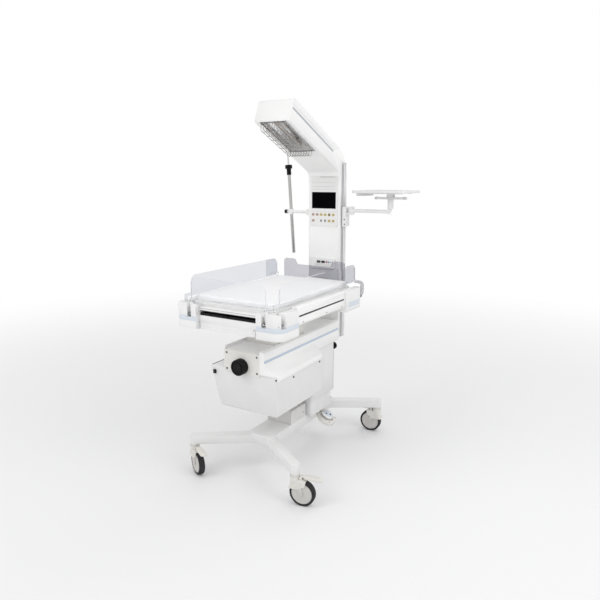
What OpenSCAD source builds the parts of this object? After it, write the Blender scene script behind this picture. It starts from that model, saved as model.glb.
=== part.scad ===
// Infant radiant warmer: a castered base, a lifting column with an inclined heater head,
// a tilting bed with fold-down clear panels, and accessories on the column rails.
// Frame: X across, the foot end of the bed faces -Y, Z up, origin on the floor amid the casters.

/* [Base] */
// Caster stems, distance from the middle across
caster_x = 305; // [280:5:330]
// Caster stems, distance from the middle lengthways
caster_y = 470; // [440:5:500]
// Underside of the legs above the floor
leg_z = 157; // [155:1:170]
// Height of a leg
leg_h = 44; // [38:1:46]
// Width of a leg
leg_w = 48; // [44:1:56]
// Width of the central spine
spine_w = 150; // [136:2:160]
// Front end of the spine, ahead of the middle
spine_front = 322; // [300:2:340]
// Back end of the spine, behind the middle
spine_back = 350; // [330:2:370]
// Height of the spine
spine_h = 55; // [50:1:58]
// Height of the power box on the spine
box_h = 74; // [50:1:76]
// Depth of the power box, front to back
box_d = 150; // [120:2:160]
// Foot switch, distance behind the middle
switch_y = 188; // [180:1:196]
// Foot switch diameter
switch_d = 104; // [96:2:110]
// Slope of the foot switch, degrees
switch_a = 25; // [20:1:30]

/* [Casters] */
// Wheel diameter
wheel_d = 125; // [115:1:125]
// Tyre width
wheel_w = 30; // [26:1:34]
// Tyre thickness in section
tyre_t = 11; // [9:0.5:14]
// Trail of the wheel behind its stem
trail = 38; // [34:1:42]
// Stem diameter
stem_d = 16; // [12:0.5:20]
// Axle diameter
axle_d = 12; // [10:0.5:14]
// Wall of the fork and hood
fork_t = 3.5; // [3:0.5:4]
// Front right caster heading, degrees
swivel_fr = 9; // [-20:1:60]
// Rear right caster heading, degrees
swivel_rr = 184; // [140:1:220]
// Front left caster heading, degrees
swivel_fl = -28; // [-60:1:20]
// Rear left caster heading, degrees
swivel_rl = 200; // [140:1:220]
// Length of the brake pedal past its pivot
brake_l = 104; // [90:1:108]
// Width of the brake pedal
brake_w = 34; // [28:1:38]

/* [Lift column] */
// Width of the fixed lower column
ped_w = 216; // [200:2:220]
// Depth of the fixed lower column, front to back
ped_d = 226; // [210:2:230]
// Centre of the lift behind the middle
lift_y = 140; // [130:1:150]
// Height of the fixed lower column
ped_h = 300; // [280:2:304]
// Wall of the fixed lower column
ped_t = 5; // [3:0.5:8]
// Width of the moving shroud
shroud_w = 240; // [236:2:250]
// Depth of the moving shroud
shroud_d = 250; // [246:2:260]
// Wall of the moving shroud
shroud_t = 4; // [2:0.5:6]
// Lower rim of the shroud above the floor
shroud_z = 300; // [292:1:310]
// Lift rod diameter
rod_d = 24; // [18:1:30]
// Lift cylinder diameter
ram_d = 48; // [40:1:60]

/* [Mechanism housing] */
// Underside of the chassis beam above the floor
beam_z = 598; // [596:1:606]
// Height of the chassis beam
beam_h = 92; // [84:1:96]
// Width of the chassis beam
beam_w = 206; // [196:2:210]
// Front of the chassis beam, ahead of the middle
beam_front = 452; // [440:1:460]
// Width of the tub at its rim
tub_w = 382; // [370:2:392]
// Width of the tub at its floor
tub_bw = 346; // [330:2:352]
// Rim of the tub above the floor
tub_top = 592; // [586:1:594]
// Floor of the tub above the floor
tub_z = 368; // [364:1:390]
// Set-back of the tub floor at the front
tub_rake = 42; // [30:1:56]
// Thickness of the front plate
plate_t = 7; // [5:0.5:10]
// Height of the front plate
plate_h = 112; // [106:1:116]
// Tilt knob diameter
knob_d = 78; // [66:1:84]
// Tilt knob depth
knob_l = 34; // [28:1:40]
// Number of grip flutes on the tilt knob
knob_flutes = 24; // [16:1:30]
// Tilt knob shaft diameter
knob_shaft = 14; // [10:0.5:16]
// Top of the side covers above the floor
cover_top = 702; // [696:1:708]
// Outer face of the side covers from the middle
cover_x = 132; // [126:1:138]
// Width of the neck under the bed
neck_w = 186; // [176:2:190]
// Depth of the neck, front to back
neck_d = 260; // [240:2:270]
// Height of the neck block
neck_h = 58; // [50:1:60]
// Tilt pivot above the floor
pivot_z = 768; // [764:1:774]
// Tilt pivot ahead of the middle
pivot_y = 165; // [160:1:170]
// Tilt pin diameter
pin_d = 18; // [14:1:22]

/* [Column and head] */
// Width of the column and head
col_w = 202; // [196:2:206]
// Depth of the column
col_d = 86; // [80:1:90]
// Front face of the column behind the middle
col_y = 342; // [336:1:350]
// Lower end of the column above the floor
col_z = 582; // [576:1:590]
// Slope of the heater head, degrees
head_a = 24; // [20:1:28]
// Top front edge of the head above the floor
head_z = 1871; // [1840:1:1885]
// Top front edge of the head ahead of the middle
head_y = 138; // [130:1:146]
// Thickness of the head
head_t = 117; // [108:1:126]
// Radius of the outer elbow
elbow_r = 200; // [160:5:230]
// Radius of the inner elbow
inner_r = 45; // [30:1:60]
// Width of the control panel
panel_w = 174; // [170:1:184]
// Thickness of the control panel
panel_t = 3; // [2:0.5:5]
// Height of the control panel
panel_h = 277; // [270:1:280]
// Display width
disp_w = 152; // [140:1:156]
// Display height
disp_h = 91; // [80:1:96]
// Display centre above the floor
disp_z = 1376; // [1370:1:1382]
// Key size
key_s = 17; // [12:1:19]
// Key pitch
key_p = 26; // [24:1:26]
// Width of a side rail
rail_w = 34; // [28:1:40]
// Depth of a side rail
rail_t = 9; // [7:0.5:12]
// Length of a side rail
rail_l = 985; // [900:5:990]

/* [Heater] */
// Length of the heater opening
open_l = 304; // [280:2:316]
// Width of the heater opening
open_w = 138; // [120:2:150]
// Depth of the heater opening
open_h = 76; // [66:1:84]
// Heater tube diameter
tube_d = 13; // [10:0.5:16]
// Guard wire diameter
wire_d = 3; // [2.5:0.5:4]
// Guard standing below the opening
guard_h = 36; // [24:1:40]
// Number of long guard wires
guard_n = 9; // [7:1:11]

/* [Bed] */
// Width of the bed deck beside the mattress, each side
bed_rim = 63; // [60:1:68]
// Front face of the bed ahead of the middle
bed_front = 556; // [550:1:560]
// Mattress, distance behind the front face of the bed
mat_in = 41; // [38:1:46]
// Gap between the mattress and the head panel
mat_gap = 7; // [3:1:12]
// Underside of the bed deck above the floor
bed_z = 843; // [840:1:850]
// Height of the bed deck
deck_h = 60; // [56:1:62]
// Height of the side rails of the bed
edge_h = 87; // [80:1:90]
// Width of a side rail of the bed
edge_w = 34; // [28:1:38]
// Width of the tray slot
slot_w = 334; // [300:2:340]
// Height of the tray slot
slot_h = 23; // [20:1:25]
// Lower edge of the tray slot above the deck's underside
slot_z = 25; // [22:1:27]
// Depth of the tray slot
slot_d = 520; // [480:5:530]
// Corner cap height
cap_h = 118; // [112:1:122]
// Corner cap length along the side
cap_l = 150; // [140:2:160]
// Wall between the tray slot and the corner caps
slot_wall = 4; // [3:0.5:8]
// Corner radius of the caps
cap_r = 46; // [36:1:56]
// Blue band height
band_h = 24; // [18:1:28]
// Gap for a panel leg in a cap
leg_gap = 23; // [20:1:26]
// Mattress width
mat_w = 466; // [440:2:470]
// Mattress length
mat_l = 734; // [700:2:736]
// Mattress thickness
mat_t = 27; // [24:1:34]
// Crown of the mattress
mat_crown = 4; // [2:0.5:6]
// Height of the mattress pan
pan_h = 20; // [16:1:24]

/* [Clear panels] */
// Panel thickness
pane_t = 6; // [4:0.5:8]
// Gap between the mattress and the side panels
pane_gap = 16; // [12:1:20]
// Panel hinge, distance outside the panel
hinge_out = 32; // [28:1:34]
// Top edge of the panels above the floor
pane_top = 1043; // [1030:1:1052]
// Lower edge of the panels above the floor
pane_z = 944; // [940:1:950]
// Corner radius of the panels
pane_r = 34; // [24:1:40]
// Leg of the foot panel, in from the side of the cap
foot_in = 90; // [86:1:94]
// Panel hinge above the floor
hinge_z = 870; // [866:1:874]
// Panel hinge pin diameter
hinge_d = 6; // [5:0.5:8]
// Width of the head panel
hp_w = 392; // [380:2:400]
// Width of the ears of the head panel
hp_ear = 80; // [60:2:100]

/* [Accessories] */
// Pole height of the clamp above the floor
iv_z = 1305; // [1280:5:1330]
// Pole distance from the middle
iv_x = 245; // [230:1:260]
// Pole diameter
iv_d = 19; // [17:0.5:24]
// Pole wall
iv_t = 2; // [1.5:0.5:2.5]
// Pole length
iv_l = 462; // [440:2:500]
// Pole below its clamp
iv_low = 246; // [230:2:260]
// Lean of the pole, degrees
iv_lean = 4; // [0:0.5:8]
// Drip rod diameter
drip_d = 10; // [8:0.5:12]
// Drip rod showing above the collar
drip_up = 118; // [100:2:140]
// Drip rod inside the pole
drip_low = 190; // [170:2:200]
// Height of the collar on the pole
collar_h = 54; // [50:1:60]
// Shelf arm above the floor
arm_z = 1320; // [1310:1:1330]
// Shelf arm reach from its pivot to the post
arm_l = 232; // [220:1:240]
// Shelf arm diameter
arm_d = 20; // [18:1:24]
// Shelf tray length
tray_l = 302; // [290:2:306]
// Shelf tray depth
tray_d = 244; // [230:2:250]
// Shelf tray height
tray_h = 14; // [10:1:20]
// Top of the shelf tray above the floor
tray_top = 1434; // [1426:1:1440]
// Middle of the shelf tray, offset from its post towards the column
tray_off = 27; // [20:1:30]
// Height of the shelf clamp on its rail
jaw_h = 110; // [90:2:130]

/* [Hidden] */
$fn = 48;
run_c = 0.08;
thrust_c = 0.3;
soft_c = 0.3;
spine_top = leg_z + spine_h;
leg_top = leg_z + leg_h;
wheel_r = wheel_d/2;
hub_r = wheel_r - tyre_t;
hood_in = wheel_r + 3;
hood_out = hood_in + fork_t;
fork_y = wheel_w/2 + 2.5;
brake_z = wheel_r + hood_out + 8;
brake_x = trail - 6;
ram_h = ped_h - 14;
shroud_front = lift_y - shroud_d/2;
beam_top = beam_z + beam_h;
plate_z = beam_z - 20;
plate_y = beam_front + plate_t;
knob_z = beam_z + 20;
pin_r = pin_d/2;
lug_t = 12;
ear_t = 20;
col_back = col_y + col_d;
tip = [-head_y, head_z];
dir = [cos(head_a), -sin(head_a)];
nrm = [sin(head_a), cos(head_a)];
toe = tip - head_t*nrm;
heel_in = [col_y, toe[1] + dir[1]*(col_y - toe[0])/dir[0]];
heel_out = [col_back, tip[1] + dir[1]*(col_back - tip[0])/dir[0]];
rail_z = col_z + 10;
rail_y = col_y + col_d/2;
bed_x = mat_w/2 + bed_rim;
bed_back = mat_in + mat_l + mat_gap - bed_front;
pane_x = mat_w/2 + pane_gap + pane_t/2;
deck_top = bed_z + deck_h;
cap_z = deck_top - cap_h + 18;
cap_front = bed_front + 22;
cap_x = bed_x + 6;
cap_w = cap_x - slot_w/2 - slot_wall;
band_z = bed_z - 3;
pan_z = deck_top;
mat_z = pan_z + pan_h + soft_c;
mat_y = -bed_front + mat_in + mat_l/2;
pane_front = -bed_front + 46;
pane_back = bed_back + 8;
hinge_x = pane_x + hinge_out;
hinge_front = cap_front - 6;
foot_y = bed_front;
gap_front = -bed_front - 8;
side_leg_y = -bed_front + 8;
back_leg_y = bed_back + 12;
foot_leg_x = cap_x - foot_in;
foot_w = 2*foot_leg_x;
arm_px = col_w/2 + rail_t + 44;

// Points along an arc from angle a to angle b
function arc(c, r, a, b, n) = [for (i = [0:n]) c + r*[cos(a + (b - a)*i/n), sin(a + (b - a)*i/n)]];

// Arc of radius r that rounds the corner p between a and b
function unit(v) = v/norm(v);
function round_corner(a, p, b, r, n) =
  let (u = unit(a - p), v = unit(b - p))
  let (half = acos(u*v)/2, m = unit(u + v))
  let (c = p + m*r/sin(half), s = -u*(r*sin(90 - half))/1)
  let (t0 = p + u*r/tan(half), t1 = p + v*r/tan(half))
  let (a0 = atan2(t0[1] - c[1], t0[0] - c[0]), a1 = atan2(t1[1] - c[1], t1[0] - c[0]))
  let (d = a1 - a0)
  let (e = d > 180 ? d - 360 : (d < -180 ? d + 360 : d))
  arc(c, r, a0, a0 + e, n);

// Flat bar between two circles of different radius, with their outer tangents
module link2(p, rp, q, rq) {
  d = norm(q - p);
  t = atan2(q[1] - p[1], q[0] - p[0]);
  s = acos((rp - rq)/d);
  translate(p) circle(r = rp);
  translate(q) circle(r = rq);
  polygon([p + rp*[cos(t + s), sin(t + s)], q + rq*[cos(t + s), sin(t + s)],
    q + rq*[cos(t - s), sin(t - s)], p + rp*[cos(t - s), sin(t - s)]]);
}

// Rectangle with round corners, centred
module round_rect(w, h, r) {
  square([w - 2*r, h], center = true);
  square([w, h - 2*r], center = true);
  for (x = [-1, 1], y = [-1, 1]) translate([x*(w/2 - r), y*(h/2 - r)]) circle(r = r);
}

// Extrudes a profile drawn in Y and Z along X, from x0 to x1
module along_x(x0, x1) {
  translate([x0, 0, 0]) rotate([90, 0, 90]) linear_extrude(x1 - x0) children();
}

// Extrudes a profile drawn in X and Z along Y, from y0 to y1
module along_y(y0, y1) {
  translate([0, y1, 0]) rotate([90, 0, 0]) linear_extrude(y1 - y0) children();
}

module box(a, b) {
  translate(a) cube(b - a);
}

// Both sides of the plane X = 0
module both() {
  children();
  mirror([1, 0, 0]) children();
}

// Frame of a caster: its stem axis at the origin and its trail along X
module at_caster(x, y, a) {
  translate([x, y, 0]) rotate([0, 0, a]) children();
}

module base_frame() {
  color("whitesmoke") difference() {
    union() {
      translate([0, (spine_back - spine_front)/2, leg_z]) linear_extrude(spine_h)
        round_rect(spine_w, spine_back + spine_front, 24);
      for (x = [-1, 1], y = [-1, 1]) translate([0, 0, leg_z]) linear_extrude(leg_h)
        link2([x*(spine_w/2 - leg_w*0.6), y*(y > 0 ? spine_back : spine_front) - y*leg_w*0.65], leg_w*0.6,
          [x*caster_x, y*caster_y], leg_w/2);
    }
    for (x = [-1, 1], y = [-1, 1]) translate([x*caster_x, y*caster_y, leg_z - 1])
      cylinder(d = stem_d + 2*run_c, h = leg_h - 7);
  }
}

module power_box() {
  front = shroud_front - 1 - box_d;
  back = shroud_front - 1;
  color("gainsboro") difference() {
    union() {
      along_x(-spine_w/2, spine_w/2) polygon([[front, spine_top], [front, spine_top + box_h - 6],
        [front + 6, spine_top + box_h], [back, spine_top + box_h], [back, spine_top]]);
      along_x(-spine_w/2 - 2, -spine_w/2) translate([front + 27, spine_top + 32]) round_rect(38, 30, 4);
    }
    along_x(-spine_w/2 - 3, -spine_w/2 + 16) translate([front + 27, spine_top + 32]) round_rect(28, 20, 3);
    for (i = [0:4]) translate([-spine_w/2 - 1, front + 58 + i*12, spine_top + 16]) cube([5, 5, box_h - 34]);
    for (i = [0:4]) translate([spine_w/2 - 4, front + 58 + i*12, spine_top + 16]) cube([5, 5, box_h - 34]);
  }
}

module pedestal() {
  color("white") difference() {
    translate([0, lift_y, spine_top]) linear_extrude(ped_h) round_rect(ped_w, ped_d, 16);
    translate([0, lift_y, spine_top - 1]) linear_extrude(ped_h + 2)
      round_rect(ped_w - 2*ped_t, ped_d - 2*ped_t, 16 - ped_t);
  }
}

module lift_cylinder() {
  color("dimgray") translate([0, lift_y, spine_top]) difference() {
    union() {
      cylinder(d = ram_d, h = ram_h);
      cylinder(d = ram_d + 24, h = 12);
    }
    translate([0, 0, 14]) cylinder(d = rod_d + 2*run_c, h = ram_h);
  }
}

// Frame of the foot switch: its rocker turns about X, its top faces outward and up
module at_switch() {
  translate([spine_w/2, switch_y, leg_z + 26]) rotate([0, switch_a, 0]) children();
}

module foot_switch() {
  r = switch_d/2;
  color("whitesmoke") difference() {
    at_switch() {
      translate([r, 0, -34]) cylinder(d = switch_d, h = 26);
      translate([-20, -r*0.8, -34]) cube([20 + r, r*1.6, 26]);
      for (x = [6, switch_d - 14]) along_x(x, x + 8) {
        circle(d = 16);
        translate([-8, -10]) square([16, 10]);
      }
    }
    at_switch() translate([-30, 0, 0]) rotate([0, 90, 0]) cylinder(d = 6, h = switch_d + 60);
    box([-spine_w/2, switch_y - 100, leg_z - 60], [spine_w/2, switch_y + 100, leg_z + 100]);
  }
  color("silver") at_switch() translate([4, 0, 0]) rotate([0, 90, 0]) cylinder(d = 6, h = switch_d - 8);
}

module foot_rocker() {
  w = switch_d - 42;
  color("lightsteelblue") at_switch() difference() {
    union() {
      intersection() {
        along_x(20, 20 + w) polygon([[-41, 6], [-41, 12], [0, 8], [41, 12], [41, 6], [0, 1]]);
        translate([20 + w/2, 0, 0]) linear_extrude(40) round_rect(w, 82, 24);
      }
      along_x(20, 20 + w) circle(d = 13);
    }
    rotate([0, 90, 0]) cylinder(d = 6 + 2*run_c, h = switch_d);
  }
}

module caster_fork() {
  crown = leg_z - 11;
  color("ivory") difference() {
    union() {
      for (s = [-1, 1]) along_y(s*(fork_y + fork_t/2) - fork_t/2, s*(fork_y + fork_t/2) + fork_t/2) translate([trail, wheel_r]) {
        intersection() {
          circle(r = hood_out);
          polygon([[-hood_out, 20], [-22, 20], [16, 38], [24, hood_out + 5], [-hood_out, hood_out + 5]]);
        }
        link2([-14, 28], 9, [0, 0], axle_d/2 + 3);
      }
      along_y(-fork_y, fork_y) translate([trail, wheel_r]) intersection() {
        difference() {
          circle(r = hood_out);
          circle(r = hood_in);
        }
        polygon([[-hood_out, 20], [8, 20], [24, hood_out + 5], [-hood_out, hood_out + 5]]);
      }
      difference() {
        translate([0, 0, wheel_r + 24]) cylinder(r = fork_y + fork_t + 3, h = crown - wheel_r - 24);
        along_y(-60, 60) translate([trail, wheel_r]) circle(r = hood_in);
      }
      translate([0, 0, crown - 2]) cylinder(r = 24, h = 13 - thrust_c);
      cylinder_stem();
      for (s = [-1, 1]) along_y(s*11 - 3, s*11 + 3) {
        translate([brake_x, brake_z]) circle(r = 6);
        translate([brake_x - 6, brake_z - 10]) square([12, 10]);
      }
      translate([brake_x, 14, brake_z]) rotate([90, 0, 0]) cylinder(d = 5, h = 28);
      translate([trail, fork_y + 1, wheel_r]) rotate([90, 0, 0]) cylinder(d = axle_d, h = 2*fork_y + 2);
    }
    for (s = [-1, 1], i = [0:3]) along_y(s*(fork_y + fork_t) - 0.8, s*(fork_y + fork_t) + 0.8)
      translate([trail - 34 + i*5, wheel_r + 26 + i*7]) square([22, 2]);
  }
}

module cylinder_stem() {
  translate([0, 0, leg_z - 6]) cylinder(d = stem_d, h = leg_h - 10);
}

module caster_tyre() {
  color("#222222") translate([trail, 0, wheel_r]) rotate([90, 0, 0]) rotate_extrude() difference() {
    union() {
      translate([hub_r, -wheel_w/2 + 4]) square([tyre_t, wheel_w - 8]);
      translate([hub_r, -wheel_w/2]) square([tyre_t - 5, wheel_w]);
      for (s = [-1, 1]) translate([wheel_r - 5, s*(wheel_w/2 - 5)]) circle(r = 5);
    }
    translate([0, -wheel_w]) square([hub_r, 2*wheel_w]);
  }
}

module caster_hub() {
  color("lightgray") translate([trail, 0, wheel_r]) rotate([90, 0, 0]) rotate_extrude()
    polygon([[axle_d/2 + run_c, -wheel_w/2 - 1.5], [hub_r*0.45, -wheel_w/2 - 1.5], [hub_r*0.8, -wheel_w/2 - 0.5],
      [hub_r, -wheel_w/2 + 2], [hub_r, wheel_w/2 - 2], [hub_r*0.8, wheel_w/2 + 0.5],
      [hub_r*0.45, wheel_w/2 + 1.5], [axle_d/2 + run_c, wheel_w/2 + 1.5]]);
}

module caster_brake() {
  z = brake_z;
  color("ivory") difference() {
    union() {
      along_y(-7.7, 7.7) translate([brake_x, z]) circle(r = 5.6);
      intersection() {
        along_y(-brake_w/2, brake_w/2) polygon([[brake_x + 2, z + 5], [brake_x + 14, z + 10], [brake_x + brake_l - 10, z + 7],
          [brake_x + brake_l, z + 1], [brake_x + brake_l - 3, z - 4], [brake_x + 34, z - 2], [brake_x + 2, z + 1]]);
        union() {
          translate([brake_x - 5, -7.7, 0]) cube([18, 15.4, 200]);
          translate([0, 0, 50]) linear_extrude(150) link2([brake_x + 24, 0], brake_w/2 - 3, [brake_x + brake_l - brake_w/2, 0], brake_w/2);
        }
      }
    }
    translate([brake_x, 20, z]) rotate([90, 0, 0]) cylinder(d = 5 + 2*run_c, h = 40);
  }
}

module lift_shroud() {
  color("white") difference() {
    translate([0, lift_y, shroud_z]) linear_extrude(beam_z - shroud_z) round_rect(shroud_w, shroud_d, 18);
    translate([0, lift_y, shroud_z - 1]) linear_extrude(beam_z - shroud_z - shroud_t + 1)
      round_rect(shroud_w - 2*shroud_t, shroud_d - 2*shroud_t, 18 - shroud_t);
    translate([0, lift_y, shroud_z]) cylinder(d = rod_d, h = beam_z);
  }
}

module lift_rod() {
  low = spine_top + 108;
  color("silver") translate([0, lift_y, low]) cylinder(d = rod_d, h = beam_z - low);
}

module chassis_beam() {
  color("whitesmoke") difference() {
    along_x(-beam_w/2, beam_w/2) polygon([[-beam_front, beam_z], [-beam_front, beam_top - 6],
      [-beam_front + 6, beam_top], [col_y - 14, beam_top], [col_y, beam_top - 14], [col_y, beam_z]]);
    translate([0, -beam_front + 60, knob_z]) rotate([90, 0, 0]) cylinder(d = knob_shaft + 2*run_c, h = 61);
  }
}

module tub() {
  color("whitesmoke") intersection() {
    along_y(-beam_front - 1, shroud_front) polygon([[-tub_bw/2 + 14, tub_z], [tub_bw/2 - 14, tub_z], [tub_bw/2, tub_z + 12],
      [tub_w/2 - 1, tub_top - 14], [tub_w/2, tub_top], [-tub_w/2, tub_top], [-tub_w/2 + 1, tub_top - 14], [-tub_bw/2, tub_z + 12]]);
    along_x(-tub_w/2, tub_w/2) polygon([[-beam_front - 1, tub_top], [-beam_front - 1, tub_top - 20], [-beam_front + tub_rake, tub_z + 10],
      [-beam_front + tub_rake + 10, tub_z], [shroud_front, tub_z], [shroud_front, tub_top]]);
  }
}

module front_plate() {
  color("whitesmoke") difference() {
    along_y(-plate_y, -beam_front - 1) translate([0, plate_z + plate_h/2]) round_rect(beam_w, plate_h, 8);
    translate([0, -beam_front + 1, knob_z]) rotate([90, 0, 0]) cylinder(d = knob_shaft + 2*run_c, h = plate_t + 2);
  }
}

module tilt_knob() {
  color("#1a1a1a") union() {
    difference() {
      translate([0, -plate_y - 1, knob_z]) rotate([90, 0, 0]) cylinder(d = knob_d, h = knob_l);
      for (i = [0:knob_flutes - 1]) translate([0, -plate_y, knob_z]) rotate([90, 0, 0]) rotate([0, 0, i*360/knob_flutes])
        translate([knob_d/2 + 1.5, 0, 5]) cylinder(d = 7, h = knob_l);
      translate([0, -plate_y - knob_l + 2, knob_z]) rotate([90, 0, 0]) difference() {
        cylinder(d = knob_d - 16, h = 10);
        cylinder(d = knob_d - 34, h = 10);
      }
    }
    translate([0, -beam_front + 56, knob_z]) rotate([90, 0, 0]) cylinder(d = knob_shaft, h = plate_t + 60);
  }
}

// Cross-section of the right side cover, in X and Z
module cover_profile(out) {
  polygon([[beam_w/2, tub_top], [beam_w/2, cover_top], [cover_x - 8, cover_top], [cover_x - 2, cover_top - 3],
    [cover_x, cover_top - 10], [cover_x, cover_top - 64], [cover_x + 8, cover_top - 80], [cover_x + 22, tub_top + 16],
    [out - 12, tub_top + 5], [out - 3, tub_top + 1], [out, tub_top - 6], [out, tub_top - 24],
    [tub_w/2 + 0.5, tub_top - 24], [tub_w/2 + 0.5, tub_top]]);
}

module side_cover_right() {
  out = tub_w/2 + 6;
  color("white") difference() {
    intersection() {
      along_y(-beam_front - 12, col_y - 40) cover_profile(out);
      translate([0, 0, tub_z]) linear_extrude(400) polygon(concat([[beam_w/2, -beam_front - 8]],
        arc([out - 30, -beam_front + 22], 30, -90, 0, 8),
        [[out, shroud_front - 40], [out - 12, shroud_front - 14], [cover_x, shroud_front - 1], [cover_x, col_y - 60], [cover_x - 14, col_y - 40], [beam_w/2, col_y - 40]]));
    }
    box([cover_x - 2, -beam_front - 20, cover_top - 52], [cover_x + 20, col_y - 60, cover_top - 39]);
    box([beam_w/2 - 1, -beam_front - 20, tub_z], [out + 1, -beam_front - 1, tub_top]);
    box([beam_w/2 - 1, shroud_front - 0.5, tub_z], [shroud_w/2 + 0.5, shroud_front + shroud_d + 0.5, beam_z + 0.5]);
  }
}

module side_cover_left() {
  x = beam_w/2 + 8;
  color("white") mirror([1, 0, 0]) difference() {
    along_x(beam_w/2, x) polygon([[-beam_front, tub_top], [-beam_front, cover_top - 12], [-beam_front + 10, cover_top],
      [col_y - 52, cover_top], [col_y - 40, cover_top - 12], [col_y - 40, tub_top + 30], [shroud_front, tub_top + 6],
      [shroud_front, tub_top]]);
    box([x - 2, -beam_front + 8, cover_top - 52], [x + 1, col_y - 60, cover_top - 39]);
  }
}

module head_stripe() {
  translate([0, toe[0], toe[1]]) rotate([-head_a, 0, 0])
    box([col_w/2 - 1.5, 6, head_t - 52], [col_w/2 + 0.5, 446, head_t - 46]);
}

module side_stripes() {
  color("lightsteelblue") {
    box([cover_x - 2, -beam_front - 7, cover_top - 52], [cover_x + 0.5, col_y - 60, cover_top - 39]);
    mirror([1, 0, 0]) box([beam_w/2 + 6, -beam_front + 8, cover_top - 52], [beam_w/2 + 8.5, col_y - 60, cover_top - 39]);
    both() head_stripe();
  }
}

module neck() {
  y0 = -pivot_y - neck_d/2;
  color("linen") difference() {
    union() {
      along_x(-neck_w/2, neck_w/2) polygon([[y0, beam_top], [y0 + 8, beam_top + neck_h - 8], [y0 + 18, beam_top + neck_h],
        [y0 + neck_d - 18, beam_top + neck_h], [y0 + neck_d - 8, beam_top + neck_h - 8], [y0 + neck_d, beam_top]]);
      for (x = [-neck_w/2, neck_w/2 - ear_t]) along_x(x, x + ear_t) {
        translate([-pivot_y, pivot_z]) circle(r = pin_r + 13);
        translate([-pivot_y - pin_r - 13, beam_top + neck_h - 10]) square([2*pin_r + 26, pivot_z - beam_top - neck_h + 10]);
      }
    }
    translate([-neck_w, -pivot_y, pivot_z]) rotate([0, 90, 0]) cylinder(d = pin_d, h = 2*neck_w);
    along_x(-neck_w/2 + ear_t, neck_w/2 - ear_t) translate([-pivot_y, pivot_z]) circle(r = pin_r + 16);
  }
}

module tilt_pin() {
  l = neck_w + 2*lug_t + 8;
  color("silver") translate([-l/2, -pivot_y, pivot_z]) rotate([0, 90, 0]) cylinder(d = pin_d, h = l);
}

module rear_bumper() {
  color("#1a1a1a") translate([shroud_w/2 - 13, lift_y + shroud_d/2 + 14, beam_z - 42]) rotate([90, 0, 0]) union() {
    cylinder(r = 21, h = 10);
    cylinder(r = 12, h = 14);
  }
}

module head_at() {
  translate([0, toe[0], toe[1]]) rotate([-head_a, 0, 0]) children();
}

module column_housing() {
  side = concat([[col_y, col_z]], round_corner([col_y, col_z], heel_in, toe, inner_r, 8),
    round_corner(heel_in, toe, tip, 10, 3), round_corner(toe, tip, heel_out, 14, 4),
    round_corner(tip, heel_out, [col_back, col_z], elbow_r, 14), [[col_back, col_z]]);
  color("white") difference() {
    along_x(-col_w/2, col_w/2) polygon(side);
    head_at() box([-open_w/2, 9, -20], [open_w/2, 9 + open_l, open_h]);
    head_at() both() box([col_w/2 - 1.5, 6, head_t - 52], [col_w/2 + 10, 446, head_t - 46]);
    box([-panel_w/2, col_y - 5, disp_z - 6.5 - panel_h/2], [panel_w/2, col_y + 1, disp_z - 6.5 + panel_h/2]);
    both() box([col_w/2 - 1.5, rail_y - rail_w/2 - 2, rail_z], [col_w/2 + 5, rail_y + rail_w/2 + 2, rail_z + rail_l]);
    for (x = [-1, 1], y = [0, 1]) translate([x*(col_w/2), y*col_d + col_y, col_z - 1]) rotate([0, 0, 45])
      translate([-3, -3, 0]) cube([6, 6, heel_in[1] - col_z - inner_r]);
  }
}

module control_panel() {
  color("whitesmoke") difference() {
    along_y(col_y + 1 - panel_t - 1, col_y + 1) translate([0, disp_z - 6.5]) square([panel_w, panel_h], center = true);
    for (i = [0:7]) translate([-disp_w/2, col_y - panel_t - 1, disp_z + 68 + i*7.5]) cube([disp_w - 6, 2.2, 2.2]);
    box([-disp_w/2 - 1, col_y - panel_t - 1, disp_z - disp_h/2 - 1], [disp_w/2 + 1, col_y - panel_t + 1.5, disp_z + disp_h/2 + 1]);
  }
}

module display() {
  color("black") box([-disp_w/2, col_y - panel_t + 0.2, disp_z - disp_h/2], [disp_w/2, col_y - panel_t + 1.5, disp_z + disp_h/2]);
}

module keys() {
  row1 = disp_z - disp_h/2 - 35;
  row2 = row1 - 34;
  color("goldenrod") along_y(col_y - panel_t - 0.8, col_y - panel_t) {
    for (i = [0:5]) translate([(i - 2.5)*key_p - 3, row1]) round_rect(key_s, key_s - 3, 3);
    for (i = [0, 2, 3, 4, 5]) translate([(i - 2.5)*key_p - 3, row2]) round_rect(key_s, key_s - 3, 3);
  }
}

module side_rails() {
  color("silver") both() difference() {
    union() {
      box([col_w/2 - 1.5, rail_y - rail_w/2, rail_z], [col_w/2 + rail_t - 4, rail_y + rail_w/2, rail_z + rail_l]);
      along_rail() polygon([[rail_w/2 - 5, rail_t - 4.5], [rail_w/2, rail_t], [-rail_w/2, rail_t], [5 - rail_w/2, rail_t - 4.5]]);
    }
    box([col_w/2 + 2, rail_y - 5, rail_z - 1], [col_w/2 + 20, rail_y + 5, rail_z + rail_l + 1]);
  }
}

// Extrudes a profile up the right rail, drawn with Y across and X outward from the column
module along_rail() {
  translate([col_w/2, rail_y, rail_z]) linear_extrude(rail_l) rotate([0, 0, 90]) mirror([0, 1, 0]) children();
}

module port_module() {
  z = 1026;
  color("white") difference() {
    union() {
      along_y(col_y - 10, col_y) translate([0, z - 6]) round_rect(154, 64, 6);
      along_y(col_y - 18, col_y - 10) translate([0, z - 32]) round_rect(150, 9, 3);
    }
    for (x = [-27, 3]) along_y(col_y - 11, col_y - 5) translate([x, z]) round_rect(22, 11, 5);
    for (i = [0:3]) along_y(col_y - 11, col_y - 6) translate([24 + i*13, z]) circle(d = 6);
    for (i = [0:9]) along_y(col_y - 11, col_y - 7) translate([-54 + i*12, z - 20]) square([5, 12], center = true);
  }
}

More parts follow.
